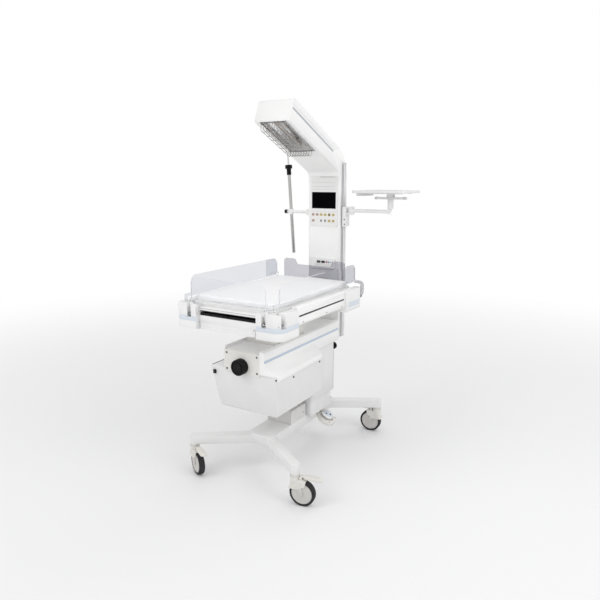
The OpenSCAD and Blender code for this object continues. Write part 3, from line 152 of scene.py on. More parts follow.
COATED = dict(grain=520, bump=0.22)
MOULDED = dict(grain=1500, bump=0.16)
ACRYLIC = dict(var=0.01, grain=200, bump=0.006, rough_var=0.02)
# The corner darkening amounts given below are painted shade.
MAT = {
    # coats of paint
    "steel_white": material("powder_coat_white", (0.80, 0.80, 0.80), 0.42, **COATED, corner_shade=0.18),
    "box_grey": material("box_coat", (0.66, 0.655, 0.645), 0.45, **COATED, corner_shade=0.2),
    "base_white": material("base_coat", (0.755, 0.753, 0.75), 0.45, **COATED, corner_shade=0.2),
    "plate_white": material("plate_coat", (0.745, 0.735, 0.70), 0.42, grain=520, bump=0.2, corner_shade=0.15),
    # moulded shells and small mouldings
    "plastic_white": material("moulded_white", (0.82, 0.82, 0.815), 0.45, var=0.015, **MOULDED, corner_shade=0.18,
                              speck=0.05),
    # Painted light: a brighter white for the head's underside, which lies in shade.
    "underside_painted_light": material("underside_painted_light_shell", (0.93, 0.928, 0.92), 0.5, var=0.012, **MOULDED, speck=0.03),
    "column_white": material("column_shell", (0.875, 0.873, 0.868), 0.45, var=0.012, **MOULDED, corner_shade=0.15,
                             speck=0.04),
    "tub_white": material("tub_shell", (0.76, 0.757, 0.755), 0.45, var=0.015, **MOULDED, corner_shade=0.18, speck=0.05),
    "plastic_cream": material("moulded_cream", (0.79, 0.775, 0.735), 0.48, grain=1300, bump=0.18, corner_shade=0.2,
                              speck=0.05),
    "ivory": material("moulded_ivory", (0.71, 0.69, 0.65), 0.46, grain=1200, bump=0.2, corner_shade=0.35, speck=0.06),
    "plastic_grey": material("moulded_grey", (0.60, 0.61, 0.62), 0.5, var=0.03, grain=1300, bump=0.2, corner_shade=0.2),
    "hub_grey": material("hub_light_grey", (0.56, 0.545, 0.525), 0.5, var=0.03, grain=1000, bump=0.2, corner_shade=0.2),
    "plastic_black": material("moulded_black", (0.007, 0.007, 0.008), 0.42, var=0.2, grain=1100, bump=0.25,
                              rough_var=0.08, spec=0.18),
    "tyre_rubber": material("tyre_rubber", (0.022, 0.022, 0.024), 0.72, var=0.35, var_scale=40, grain=1400,
                            bump=0.5, rough_var=0.12, speck=0.2, spec=0.35),
    # foils, prints and small coloured parts
    "plastic_blue": material("stripe_grey_blue", (0.50, 0.58, 0.68), 0.42, var=0.03, grain=1200),
    "pale_blue": material("label_pale_blue", (0.645, 0.695, 0.75), 0.42, bump=0.08),
    "head_stripe": material("stripe_pale", (0.46, 0.475, 0.50), 0.45, var=0.03, grain=1200, bump=0.1),
    "panel_face": material("panel_foil", (0.80, 0.795, 0.79), 0.5, var=0.01, grain=1500, bump=0.15),
    "membrane": material("membrane_gold", (0.60, 0.49, 0.20), 0.45, var=0.08, bump=0.1),
    "key_brown": material("membrane_rose", (0.50, 0.36, 0.31), 0.45, var=0.08, bump=0.1),
    "glass_black": material("display_glass", (0.0015, 0.0015, 0.002), 0.42, var=0.3, grain=300, bump=0.01,
                            rough_var=0.05, spec=0.015),
    "symbol": material("print_grey", (0.06, 0.07, 0.09), 0.5, var=0.05, bump=0.05),
    "red": material("socket_red", (0.50, 0.06, 0.06), 0.4, var=0.05, bump=0.1),
    "blue": material("socket_blue", (0.08, 0.20, 0.45), 0.4, var=0.05, bump=0.1),
    "green_led": material("led_green", (0.10, 0.38, 0.16), 0.25, var=0.05, bump=0.02),
    "dark": material("dark_gap", (0.030, 0.030, 0.034), 0.6, var=0.2, grain=700, bump=0.1),
    "seam": material("seam_grey", (0.33, 0.33, 0.34), 0.6, var=0.1, grain=700, bump=0.1),
    # bare metal
    "steel_bright": material("chrome", (0.70, 0.705, 0.72), 0.13, metal=1.0, var=0.03, grain=700, bump=0.02,
                             rough_var=0.05),
    "steel_brushed": material("brushed_steel", (0.52, 0.525, 0.53), 0.3, metal=1.0, var=0.05, bump=0.1,
                              streak=(1, 1, 0.05)),
    "pole_steel": material("pole_steel", (0.50, 0.495, 0.49), 0.22, metal=1.0, var=0.06, bump=0.05,
                           streak=(1, 1, 0.05)),
    "alu": material("anodised_rail", (0.82, 0.82, 0.83), 0.42, metal=0.12, var=0.03, grain=1300, bump=0.1,
                    streak=(1, 1, 0.02)),
    "reflector": material("polished_alu", (0.90, 0.90, 0.905), 0.2, metal=1.0, var=0.03, grain=500, bump=0.06),
    "guard_wire": material("guard_wire", (0.42, 0.41, 0.40), 0.3, metal=0.9, var=0.08, bump=0.1),
    "screw": material("screw_zinc", (0.20, 0.20, 0.21), 0.36, metal=0.9, var=0.1, bump=0.1),
    # clear panels, whose edges look denser than their faces
    "acrylic": material("acrylic_smoke", (0.79, 0.80, 0.83), 0.06, **ACRYLIC, trans=0.96, ior=1.025),
    "acrylic_clear": material("acrylic_clear", (0.965, 0.968, 0.978), 0.04, var=0.005, grain=200, bump=0.004,
                              rough_var=0.02, trans=1.0, ior=1.02, spec=0.4),
    "violet": material("acrylic_violet", (0.62, 0.615, 0.655), 0.08, **ACRYLIC, trans=0.9, ior=1.025),
    "violet_pale": material("acrylic_stiffener", (0.64, 0.64, 0.67), 0.08, **ACRYLIC, trans=0.92, ior=1.02),
    "clear_edge": material("acrylic_edge", (0.66, 0.67, 0.70), 0.15, grain=300, bump=0.02, trans=0.6, ior=1.02),
    "smoke_arm": material("acrylic_arm", (0.66, 0.66, 0.68), 0.12, var=0.01, grain=300, bump=0.01, trans=0.7,
                          ior=1.2),
    # cloth and glass
    "cover_fabric": material("coated_cloth", (0.865, 0.865, 0.872), 0.55, var=0.012, grain=1600, bump=0.4,
                             sheen=0.1, rough_var=0.08),
    "quartz": material("quartz_tube", (0.62, 0.57, 0.53), 0.28, var=0.08, grain=500, bump=0.1,
                       wave=("Y", 90.0, 2.0)),
}


# ---------------------------------------------------------------- mesh tools
def axes(axis):
    """Three unit vectors at right angles: along an axis, and two across it."""
    w = Vector(axis).normalized()
    u = w.orthogonal().normalized()
    return w, u, w.cross(u)


def circle(at, u, v, r, n):
    return [at + (u*math.cos(TURN*i/n) + v*math.sin(TURN*i/n))*r for i in range(n)]


def rrect(w, h, r, n=5):
    """Outline of a rectangle with round corners."""
    pts = []
    for q, (sx, sy) in enumerate(((1, 1), (-1, 1), (-1, -1), (1, -1))):
        for i in range(n + 1):
            a = math.radians(90*q + 90*i/n)
            pts.append((sx*(w/2 - r) + r*math.cos(a), sy*(h/2 - r) + r*math.sin(a)))
    return pts


def disc(r, n=24, cx=0, cy=0):
    return [(cx + r*math.cos(TURN*i/n), cy + r*math.sin(TURN*i/n)) for i in range(n)]


class Piece:
    """Collects mesh parts in millimetres and makes one object of them, which rides on a CAD body.

    Each part has the piece's own material, unless it names another."""

    def __init__(self, name, body, mat):
        self.name, self.body, self.mat = name, body, mat
        self.mats = {}
        self.bm = bmesh.new()

    def index(self, mat):
        """The slot of a material, added when it is first used."""
        return self.mats.setdefault(mat or self.mat, len(self.mats))

    def loft(self, rings, mat=None, caps=True):
        """Skins a list of closed rings, each a list of points, and caps both ends."""
        vs = [[self.bm.verts.new(p) for p in r] for r in rings]
        n = len(vs[0])
        faces = []
        for a, b in zip(vs, vs[1:]):
            for i in range(n):
                j = (i + 1) % n
                faces.append(self.bm.faces.new((a[i], a[j], b[j], b[i])))
        if caps:
            faces += [self.bm.faces.new(list(reversed(vs[0]))), self.bm.faces.new(vs[-1])]
        for f in faces:
            f.material_index = self.index(mat)

    def lathe(self, profile, at, axis, n=28, mat=None):
        """Turns (radius, height) pairs about an axis; a zero radius closes to a point too small to see."""
        w, u, v = axes(axis)
        self.loft([circle(Vector(at) + w*h, u, v, max(r, 0.02), n) for r, h in profile], mat)

    def tube(self, pts, r, n=10, mat=None):
        """A round bar along points, with one radius or one for each point."""
        pts = [Vector(p) for p in pts]
        u = None
        rings = []
        for i, p in enumerate(pts):
            t = (pts[min(i + 1, len(pts) - 1)] - pts[max(i - 1, 0)]).normalized()
            u = t.orthogonal().normalized() if u is None else (u - t*u.dot(t)).normalized()
            rings.append(circle(p, u, t.cross(u), r[i] if isinstance(r, list) else r, n))
        self.loft(rings, mat)

    def slab(self, outline, at, u, v, depth, bevel, mat=None):
        """Pushes a flat outline out along u x v, with its outer edge rounded in two steps."""
        o, u, v = Vector(at), Vector(u).normalized(), Vector(v).normalized()
        w = u.cross(v)
        cx = sum(p[0] for p in outline)/len(outline)
        cy = sum(p[1] for p in outline)/len(outline)
        shrink = bevel/max(math.hypot(p[0] - cx, p[1] - cy) for p in outline)
        rings = [[o + u*p[0] + v*p[1] for p in outline]]
        for a in (0.0, math.pi/4, math.pi/2):
            f = 1 - shrink*(1 - math.cos(a))
            rise = w*(depth - bevel + bevel*math.sin(a))
            rings.append([o + u*(cx + (p[0] - cx)*f) + v*(cy + (p[1] - cy)*f) + rise for p in outline])
        self.loft(rings, mat)

    def rbox(self, lo, hi, r=1.0, mat=None):
        """A block with rounded edges."""
        lo, hi = Vector(lo), Vector(hi)
        vs = bmesh.ops.create_cube(self.bm, size=1)["verts"]
        bmesh.ops.scale(self.bm, vec=(hi - lo), verts=vs)
        bmesh.ops.translate(self.bm, vec=(lo + hi)/2, verts=vs)
        for x in vs:
            for f in x.link_faces:
                f.material_index = self.index(mat)
        edges = list(dict.fromkeys(e for x in vs for e in x.link_edges))
        bmesh.ops.bevel(self.bm, geom=edges, offset=min(r, min(hi - lo)*0.45), segments=2, affect="EDGES",
                        profile=0.5, material=self.index(mat))

    def side_box(self, side, x, y, z, r, mat=None):
        """A rounded block from pairs of x, y and z, on the right (side 1) or mirrored to the left (side -1)."""
        x0, x1 = sorted((side*x[0], side*x[1]))
        self.rbox((x0, y[0], z[0]), (x1, y[1], z[1]), r, mat)

    def head_box(self, x, s, t, mat=None):
        """A sharp-edged block from pairs in the sloping head's own frame."""
        corners = ((x[0], s[0]), (x[1], s[0]), (x[1], s[1]), (x[0], s[1]))
        self.loft([[head(a, b, c) for a, b in corners] for c in t], mat)

    def screw(self, at, axis, r=3.2, h=1.6, mat="screw", hexagon=False):
        """A pan head with a cross or hexagon recess, seated flush."""
        w, u, v = axes(axis)
        o = Vector(at)
        n = 24

        def star(rad, z):
            pts = []
            for i in range(n):
                a = TURN*i/n
                if hexagon:
                    k = math.cos(math.pi/6)/math.cos((a % (math.pi/3)) - math.pi/6)
                else:
                    k = 1.0 if abs(((a + math.pi/4) % (math.pi/2)) - math.pi/4) < 0.3 else 0.42
                pts.append(o + w*z + (u*math.cos(a) + v*math.sin(a))*rad*k)
            return pts

        rings = [circle(o + w*z, u, v, rad, n) for rad, z in ((r, 0), (r, h*0.45), (r*0.86, h*0.85), (r*0.62, h))]
        rings += [star(r*0.52, h), star(r*0.46, h*0.35), circle(o + w*(h*0.3), u, v, r*0.05, n)]
        self.loft(rings, mat)

    def done(self, smooth=32):
        """Makes the object, smooth where faces meet at less than the angle given."""
        bmesh.ops.scale(self.bm, vec=(0.001, 0.001, 0.001), verts=self.bm.verts)
        bmesh.ops.recalc_face_normals(self.bm, faces=self.bm.faces)
        me = bpy.data.meshes.new(self.name)
        self.bm.to_mesh(me)
        self.bm.free()
        o = bpy.data.objects.new(self.name, me)
        bpy.context.scene.collection.objects.link(o)
        for k in self.mats:
            me.materials.append(MAT[k])
        me.polygons.foreach_set("use_smooth", [True]*len(me.polygons))
        me.set_sharp_from_angle(angle=math.radians(smooth))
        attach(o, self.body)
        return o


def dress(node, mat, width):
    """Gives a CAD node its finish and, where a width is given, rounds its edges by it."""
    o = NODES[node]
    o.data.materials.clear()
    o.data.materials.append(MAT[mat])
    if width:
        weld = o.modifiers.new("weld", "WELD")
        weld.merge_threshold = 0.00002
        flat = o.modifiers.new("flat", "DECIMATE")
        flat.decimate_type = "DISSOLVE"
        flat.delimit = {"MATERIAL"}
        flat.angle_limit = math.radians(0.6)
        edge = o.modifiers.new("edge", "BEVEL")
        edge.width = width*0.001
        edge.segments = 2
        edge.limit_method = "ANGLE"
        edge.angle_limit = math.radians(38)
        edge.use_clamp_overlap = True
        edge.harden_normals = True
        edge.miter_outer = "MITER_ARC"
    o.data.polygons.foreach_set("use_smooth", [True]*len(o.data.polygons))


def paint(node, mats, choose):
    """Gives each face of a CAD node one of several materials, by its centre in millimetres and its normal."""
    o = NODES[node]
    first = len(o.data.materials)
    for m in mats:
        o.data.materials.append(MAT[m])
    mw = o.matrix_world
    for f in o.data.polygons:
        k = choose(mw @ f.center*1000, mw.to_3x3() @ f.normal)
        if k is not None:
            f.material_index = first + k


# ---------------------------------------------------------------- carried-over nodes
FINISH = {
    "base_frame": ("base_white", 2.0), "power_box": ("box_grey", 0), "pedestal": ("steel_white", 1.0),
    "lift_cylinder": ("steel_brushed", 1.0), "foot_switch": ("plastic_cream", 2.0),
    "foot_rocker": ("plastic_white", 1.2), "lift_shroud": ("tub_white", 1.2), "lift_rod": ("steel_bright", 0.6),
    "chassis_beam": ("column_white", 1.5), "tub": ("tub_white", 3.0), "front_plate": ("plate_white", 1.0),
    "side_cover_right": ("column_white", 1.5), "side_cover_left": ("column_white", 1.5),
    "side_stripes": ("plastic_blue", 0.3), "neck": ("plastic_cream", 2.5), "tilt_pin": ("steel_brushed", 0.8),
    "rear_bumper": ("plastic_black", 1.5), "column_housing": ("plastic_white", 3.0),
    "control_panel": ("panel_face", 0), "display": ("glass_black", 0.4), "keys": ("membrane", 0.3),
    "side_rails": ("alu", 0.5), "port_module": ("plastic_white", 1.0), "reflector": ("reflector", 0),
    "heater_tubes": ("quartz", 0), "wire_guard": ("guard_wire", 0), "rail_clamps": ("plastic_white", 1.0),
    "iv_tube": ("pole_steel", 0.4), "bed_frame": ("plastic_white", 2.0), "corner_caps": ("plastic_white", 2.5),
    "accent_bands": ("pale_blue", 0.3), "mattress_pan": ("plastic_white", 1.0), "hinge_pins": ("steel_brushed", 0),
    "head_panel": ("violet", 0.5), "side_panel_left": ("acrylic", 0.5), "side_panel_right": ("acrylic_clear", 0.5),
    "foot_panel": ("acrylic_clear", 0.5), "xray_tray": ("plastic_black", 0.4), "tilt_knob": ("plastic_black", 0.8),
    "iv_rod": ("steel_bright", 0), "iv_knob": ("plastic_black", 0.6), "shelf_arm": ("steel_white", 0.8),
    "shelf_tray": ("base_white", 1.2),
}
for k in CASTERS:
    FINISH.update({"fork_" + k: ("ivory", 0.8), "tyre_" + k: ("tyre_rubber", 0), "hub_" + k: ("hub_grey", 0),
                   "brake_" + k: ("ivory", 1.2)})
for node, (mat, width) in FINISH.items():
    if node in NODES:
        dress(node, mat, width)


def column_part(c, n):
    """The head's underside, painted a brighter white against the shade it lies in, and the column up to where the
    head begins.
    """
    if n.z < -0.3 and c.z > 1400:
        return 1
    return 0 if c.z < 1640 else None


def key_part(c, n):
    """The brown keys on the left, and plain foil in the middle of the lower row."""
    if c.x < -55 or (c.x < -28 and c.z > 1280):
        return 0
    return 1 if c.z < 1280 and -30 < c.x < 24 else None


def side_part(c, n):
    """The curved arm at the head end, and the pane's upright and level edges."""
    if c.y > 224 and abs(c.x) > 256:
        return 0
    return 1 if abs(n.x) < 0.5 and abs(n.z) < 0.45 and c.z > 930 else None


def above_collar(c, n):
    return 0 if (c.x - POLE_X)*POLE_AXIS[0] + (c.z - POLE_Z)*POLE_AXIS[2] > 213.5 else None


paint("column_housing", ["column_white", "underside_painted_light"], column_part)
paint("iv_knob", ["plastic_grey"], lambda c, n: 0 if c.x > -274 else None)
# Painted light: every face of the bed frame except those facing the foot end gets a lighter white than the front
# faces.
paint("bed_frame", ["column_white"], lambda c, n: None if n.y < -0.7 else 0)
paint("iv_tube", ["plastic_black"], above_collar)
paint("keys", ["key_brown", "panel_face"], key_part)
paint("side_stripes", ["head_stripe"], lambda c, n: 0 if c.z > 1200 else None)
paint("side_panel_left", ["acrylic_clear", "clear_edge"], side_part)
paint("side_panel_right", ["smoke_arm", "clear_edge"], side_part)
paint("foot_panel", ["clear_edge"], lambda c, n: 0 if abs(n.y) < 0.5 and abs(n.z) < 0.45 else None)
paint("head_panel", ["clear_edge"], lambda c, n: 0 if abs(n.y) < 0.5 else None)
for k in CASTERS:
    paint("fork_" + k, ["hub_grey"], lambda c, n: 0 if c.z < 80 else None)

# ---------------------------------------------------------------- mattress
lo, hi = [v*1000 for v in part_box("mattress")]
# Limit, in metres, of how far the cloth may swell
SWELL = 0.0042
# Each ring of the slab: how far it is drawn in, and its height
CUSHION_RINGS = ((5, 0.5), (1.5, 3), (0.5, 9), (1.2, 15), (3.5, 20.5), (8, 24))


def cushion():
    """The mattress starts as a thin slab with drawn-in sides, and cloth under pressure gives it its swell."""
    p = Piece("mattress_pad", "bed", "cover_fabric")
    w, l = hi.x - lo.x - 6, hi.y - lo.y - 6
    cx, cy = (lo.x + hi.x)/2, (lo.y + hi.y)/2
    p.loft([[(cx + x, cy + y, lo.z + z) for x, y in rrect(w - 2*inset, l - 2*inset, 24, 8)]
            for inset, z in CUSHION_RINGS])
    return p.done(60)


def baked(o):
    """A mesh with the object's modifiers applied, which are then taken off the object."""
    me = bpy.data.meshes.new_from_object(o.evaluated_get(bpy.context.evaluated_depsgraph_get()))
    o.modifiers.clear()
    return me


pad = cushion()
pad.parent = None
remesh = pad.modifiers.new("remesh", "REMESH")
remesh.mode = "VOXEL"
remesh.voxel_size = 0.0058
pad.data = baked(pad)
rest = [v.co.copy() for v in pad.data.vertices]
cloth = pad.modifiers.new("cloth", "CLOTH").settings
cloth.quality = 4
cloth.mass = 0.3
cloth.use_pressure = True
cloth.uniform_pressure_force = 4
cloth.tension_stiffness = 18
cloth.compression_stiffness = 12
cloth.bending_stiffness = 2.2
cloth.effector_weights.gravity = 0
for f in range(1, 15):
    bpy.context.scene.frame_set(f)
swollen = baked(pad)
for v, r in zip(swollen.vertices, rest):
    d = v.co - r
    if d.length > SWELL:
        d *= SWELL/d.length
    q = r + d
    q.z = min(max(q.z, lo.z*0.001), hi.z*0.001 - 0.0002)
    q.x = min(max(q.x, lo.x*0.001), hi.x*0.001)
    q.y = min(max(q.y, lo.y*0.001), hi.y*0.001)
    v.co = q
pad.data = swollen
bpy.context.scene.frame_set(1)
smooth = pad.modifiers.new("smooth", "SUBSURF")
smooth.levels = 1
smooth.render_levels = 1
pad.data.materials.clear()
pad.data.materials.append(MAT["cover_fabric"])
pad.data.polygons.foreach_set("use_smooth", [True]*len(pad.data.polygons))
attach(pad, "bed")
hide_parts("mattress")

# piping round the upper and the lower edge
piping = Piece("mattress_piping", "bed", "cover_fabric")
for z, inset in ((lo.z + 3.4, 3.2), (hi.z - 9.5, 4.4)):
    path = [Vector((x, (lo.y + hi.y)/2 + y, z))
            for x, y in rrect(hi.x - lo.x - 2*inset, hi.y - lo.y - 2*inset, 25, 10)]
    rings = []
    for i, p in enumerate(path):
        t = (path[(i + 1) % len(path)] - path[i - 1]).normalized()
        u = Vector(UP)
        rings.append(circle(p, u, t.cross(u), 1.5, 8))
    piping.loft(rings + [rings[0]], caps=False)
piping.done(60)

# ---------------------------------------------------------------- carriage and tub
PLATE_Y, TUB_X, KNOB_Z = -459, 190, 618

carriage = Piece("carriage_screws", "carriage", "dark")
for x in (-88.5, 88.5):
    for z in (674, 594):
        carriage.lathe([(5.2, 0), (5.2, 0.5), (4.6, 0.8)], (x, PLATE_Y, z), FRONT, 20)
        carriage.screw((x, PLATE_Y - 0.4, z), FRONT, 3.6, 2.0)
for y, z in ((-292, 548), (-34, 556)):
    carriage.lathe([(5.0, -2), (5.0, 0.8), (4.4, 1.2)], (TUB_X - 0.8, y, z), RIGHT, 20)
    carriage.screw((TUB_X, y, z), RIGHT, 3.4, 1.8)
carriage.lathe([(4.4, 0), (4.4, 1.6), (3.4, 2.2), (0, 2.4)], (TUB_X, -450, 577), (0.6, -0.8, 0), 20)
for y in (-430, -250, -60):
    carriage.screw((-111, y, 606), LEFT, 3.0, 1.5)
carriage.done()

latch = Piece("tub_latch", "carriage", "plastic_black")
latch.rbox((-178, -458.4, 552), (-162, -452.4, 572), 1.2)
latch.rbox((-174.5, -459.6, 557), (-165.5, -457, 567), 0.8, "dark")
latch.done(32)

rim = Piece("tub_rim_seal", "carriage", "plastic_white")
rim.rbox((-191.4, -452.5, 589.5), (-112, -3, 593.4), 1.2)
rim.rbox((-190.6, -451.5, 592.6), (-186.2, -4, 594.6), 0.9, "dark")
rim.done()

knob = Piece("tilt_knob_cap", "tilt_knob", "plastic_black")
knob.lathe([(24, 0), (24, 2.2), (22.6, 3.4), (8, 4.2), (6.5, 3.6), (0, 3.4)], (0, -492.2, KNOB_Z), FRONT, 40)
for i in range(24):
    a = TURN*(i + 0.5)/24
    c, s = math.cos(a), math.sin(a)
    knob.tube([(r*c, y, KNOB_Z + r*s) for r, y in ((37.2, -464), (37.6, -484), (36.6, -490.5))], [1.2, 1.4, 1.0], 6)
knob.done(32)

# seams of the lift shroud, and the hub of the round stop behind it
seam = Piece("shroud_seams", "carriage", "dark")
for x in (-119.9, 119.9):
    seam.rbox((x - 0.35, 250.5, 303), (x + 0.35, 251.8, 590), 0.2)
seam.rbox((-112, 264.8, 560), (112, 265.3, 561), 0.2)
seam.lathe([(14, 0), (14, 1), (11, 2.2), (3, 2.6)], (107, 279, 556), BACK, 24)
seam.done()

# ---------------------------------------------------------------- control panel
PANEL_Y, KEY_Y = 339, 338.1
KEY_X = [-68 + 26*i for i in range(6)]
KEY_ROWS = {1295.5: ("ring", "bell", "dot", "bars", "up", "ring"),
            1261.5: ("dot", None, "up", "down", "bars", "ring")}
LED_Z, LINE_Z = 1308, 1313
ARROWS = {
    "up": [(-3, -7.5), (3, -7.5), (3, 0.5), (6.2, 0.5), (0, 8.5), (-6.2, 0.5), (-3, 0.5)],
    "down": [(-3, 7.5), (-3, -0.5), (-6.2, -0.5), (0, -8.5), (6.2, -0.5), (3, -0.5), (3, 7.5)],
}
SIGNS = {
    "bell": [[(-3.2, -2.2), (3.2, -2.2), (2, -0.6), (1.7, 2), (0, 3.4), (-1.7, 2), (-2, -0.6)]],
    "ring": [disc(0.75, 8, 3.0*math.cos(TURN*i/10), 3.0*math.sin(TURN*i/10)) for i in range(10)],
    "bars": [[(-3 + 2.4*i, -2.6), (-1.6 + 2.4*i, -2.6), (-1.6 + 2.4*i, -0.6 + 1.5*i), (-3 + 2.4*i, -0.6 + 1.5*i)]
             for i in range(3)],
    "dot": [disc(2.4, 14)],
}

panel = Piece("panel_symbols", "carriage", "symbol")
for z, row in KEY_ROWS.items():
    for x, sign in zip(KEY_X, row):
        if sign in ARROWS:
            panel.slab(ARROWS[sign], (x, KEY_Y, z), RIGHT, UP, 0.9, 0.1)
        for outline in SIGNS.get(sign, ()):
            panel.slab(outline, (x, KEY_Y, z), RIGHT, UP, 0.35, 0.1)
for x in KEY_X:
    panel.lathe([(1.1, -0.2), (1.1, 0.3), (0.7, 0.6)], (x, PANEL_Y, LED_Z), FRONT, 10, "green_led")
panel.rbox((-81, PANEL_Y - 0.4, LINE_Z - 0.25), (75, PANEL_Y + 0.1, LINE_Z + 0.25), 0.1, "seam")
# printed lines above the display
for x, z, h in ((-25, 1505, 0.9), (-75, 1475.5, 0.35), (-75, 1453, 0.35), (-75, 1437, 0.35)):
    panel.rbox((x, 337.7, z - h), (73, 338.3, z + h), 0.2, "seam")
panel.done(32)

bezel = Piece("display_bezel", "carriage", "dark")
for x0, x1, z0, z1 in ((-76.4, 76.4, 1330.2, 1332.2), (-76.4, 76.4, 1419.8, 1421.8), (-76.4, -74.4, 1331, 1421),
                       (74.4, 76.4, 1331, 1421)):
    bezel.rbox((x0, PANEL_Y - 0.6, z0), (x1, PANEL_Y + 0.4, z1), 0.4)
bezel.done()

# ---------------------------------------------------------------- connector module
PORT_Z = 1026

ports = Piece("port_sockets", "carriage", "plastic_black")
for x in (-27, 3):
    ports.slab(rrect(24, 13, 6.2, 6), (x, 332.4, PORT_Z), RIGHT, UP, 2.2, 0.8)
    ports.slab(rrect(17, 7.6, 3.7, 5), (x, 330.4, PORT_Z), RIGHT, UP, 0.5, 0.2, "dark")
    for i in range(4):
        ports.lathe([(0.6, 0), (0.6, 1.0), (0.3, 1.3)], (x - 5.4 + 3.6*i, 330.0, PORT_Z), FRONT, 8, "steel_bright")
for x, mat in ((24, "red"), (37, "blue"), (50, "plastic_grey"), (63, "plastic_grey")):
    socket = (x, 332, PORT_Z)
    ports.lathe([(4.6, -1.5), (4.6, 0.8), (4.0, 1.5), (2.6, 1.5), (2.5, -1.5), (0.1, -1.5)], socket, FRONT, 20, mat)
    ports.lathe([(0.7, -1.5), (0.7, 0.6), (0.3, 0.9)], socket, FRONT, 8, "steel_bright")
ports.done(32)

# ---------------------------------------------------------------- rails, pole and shelf
CLAMP = (118, RAIL_Y + 24, 1320)

rails = Piece("rail_ends", "carriage", "plastic_grey")
for s in SIDES:
    for z in ((587, 592), (1577, 1582)):
        rails.side_box(s, (102, 110.4), (RAIL_Y - 17.4, RAIL_Y + 17.4), z, 1.6)
    rails.side_box(s, (103.2, 103.8), (RAIL_Y - 4.6, RAIL_Y + 4.6), (593, 1576), 0.2, "seam")
    for z in (640, 820, 1000, 1180, 1440):
        rails.screw((s*103.7, RAIL_Y, z), (s, 0, 0), 3.4, 1.8, hexagon=True)
# Painted shade: a grey strip down the front outer edge of each rail, where the edge falls into shadow.
for s in SIDES:
    rails.side_box(s, (107.4, 110.4), (RAIL_Y - 17.9, RAIL_Y - 17.0), (604, 1572), 0.2, "seam")
for z in (1271, 1244):
    rails.screw((121.5, RAIL_Y - 24, z), FRONT, 3.4, 1.6, "dark", hexagon=True)
for z in (1297, 1313):
    rails.screw((-128, RAIL_Y - 17, z), LEFT, 2.4, 1.2, hexagon=True)
rails.lathe([(4, 0), (4, 8), (3, 9)], CLAMP, BACK, 16, "screw")
rails.lathe([(9, 8), (10.5, 10), (10.5, 22), (8, 25), (0, 26)], CLAMP, BACK, 18, "dark")
rails.done(32)

collar = Piece("pole_collar_ribs", "carriage", "plastic_black")
for i in range(5):
    collar.lathe([(13.0, 0), (13.8, 0.8), (13.8, 2.2), (13.0, 3.0)], pole(217 + 6*i), POLE_AXIS, 24)
for d in (251.5, 257.5, 263.5):
    collar.lathe([(20.4, 0), (21.2, 0.8), (21.2, 3.4), (20.4, 4.2)], pole(d), POLE_AXIS, 36)
collar.lathe([(20.4, 0), (19.8, 1.4), (15, 2.6), (6.4, 3.0)], pole(269.6), POLE_AXIS, 36)
for d, n, profile in ((-247, 24, [(8.6, 0), (9.6, 0.6), (9.7, 5), (9.0, 5.6)]),
                      (14.8, 28, [(13.6, 0), (13.9, 0.5), (13.4, 1.6), (9.6, 2.0)]),
                      (-16.8, 28, [(9.6, 0), (13.4, 0.4), (13.9, 1.5), (13.6, 2.0)])):
    collar.lathe(profile, pole(d), POLE_AXIS, n, "plastic_grey")
collar.done(32)

tips = Piece("hook_tips", "iv_rod", "steel_bright")
for s in SIDES:
    tips.lathe([(2.5, -0.5), (3.4, 0.6), (3.4, 2.4), (2.0, 3.8), (0, 4.2)], pole(386, s*26), POLE_AXIS, 14)
tips.lathe([(5.0, 0), (5.4, 1), (4.6, 4), (2, 6.5), (0, 7)], pole(387.5), POLE_AXIS, 18)
tips.done(40)

TRAY_Z, POST_X = 1424, 386

shelf = Piece("shelf_mat", "shelf_tray", "plastic_grey")
tray_lo, tray_hi = [v*1000 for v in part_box("shelf_tray")]
cx, cy = (tray_lo.x + tray_hi.x)/2, (tray_lo.y + tray_hi.y)/2
w, l = tray_hi.x - tray_lo.x, tray_hi.y - tray_lo.y
shelf.slab(rrect(w - 18, l - 18, 12, 5), (cx, cy, TRAY_Z), RIGHT, BACK, 1.4, 0.6)
for i in range(-5, 6):
    x = cx + i*26
    shelf.rbox((x - 1, cy - l/2 + 20, TRAY_Z + 1.2), (x + 1, cy + l/2 - 20, TRAY_Z + 2.2), 0.5)
for y in (RAIL_Y - 72, RAIL_Y + 72):
    shelf.rbox((246, y - 3, TRAY_Z - 8.4), (480, y + 3, TRAY_Z - 3.8), 1.2, "steel_white")
shelf.done(32)

post = Piece("shelf_post_trim", "shelf_arm", "plastic_white")
post.lathe([(16.2, 0), (17.4, 1), (17.4, 6), (16.2, 7)], (POST_X, RAIL_Y, 1338), UP)
post.lathe([(16.2, 0), (17.2, 1), (17.2, 4), (16.2, 5)], (POST_X, RAIL_Y, 1380), UP)
for x in (POST_X - 80, POST_X + 80):
    post.lathe([(11.6, -0.5), (12.5, 0.4), (12.5, 11.6), (11.6, 12.5), (0, 12.6)], (x, RAIL_Y, 1386), UP, 28,
               "plastic_grey")
    post.screw((x, RAIL_Y, 1398.4), UP, hexagon=True)
post.lathe([(11, 0), (11, 1.5), (9, 3), (0, 3.4)], (POST_X, RAIL_Y, 1309), DOWN, 24)
post.done(32)

# ---------------------------------------------------------------- heater head
# Heater tubes, beside the middle and above the head's underside
HEATER_X, HEATER_T = 27.6, 38
HEATER_AXIS = (0, HEAD_C, -HEAD_S)

heads = Piece("head_trim", "carriage", "plastic_white")
# rim of the opening, and the dark line inside it, which is painted shadow along the rim's edges
for s in ((4, 8.4), (313.4, 318)):
    heads.head_box((-74, 74), s, (-1.2, 0.4))
for x in (-75.4, 70.4):
    heads.head_box((x, x + 5), (4, 318), (-1.6, 0.4))
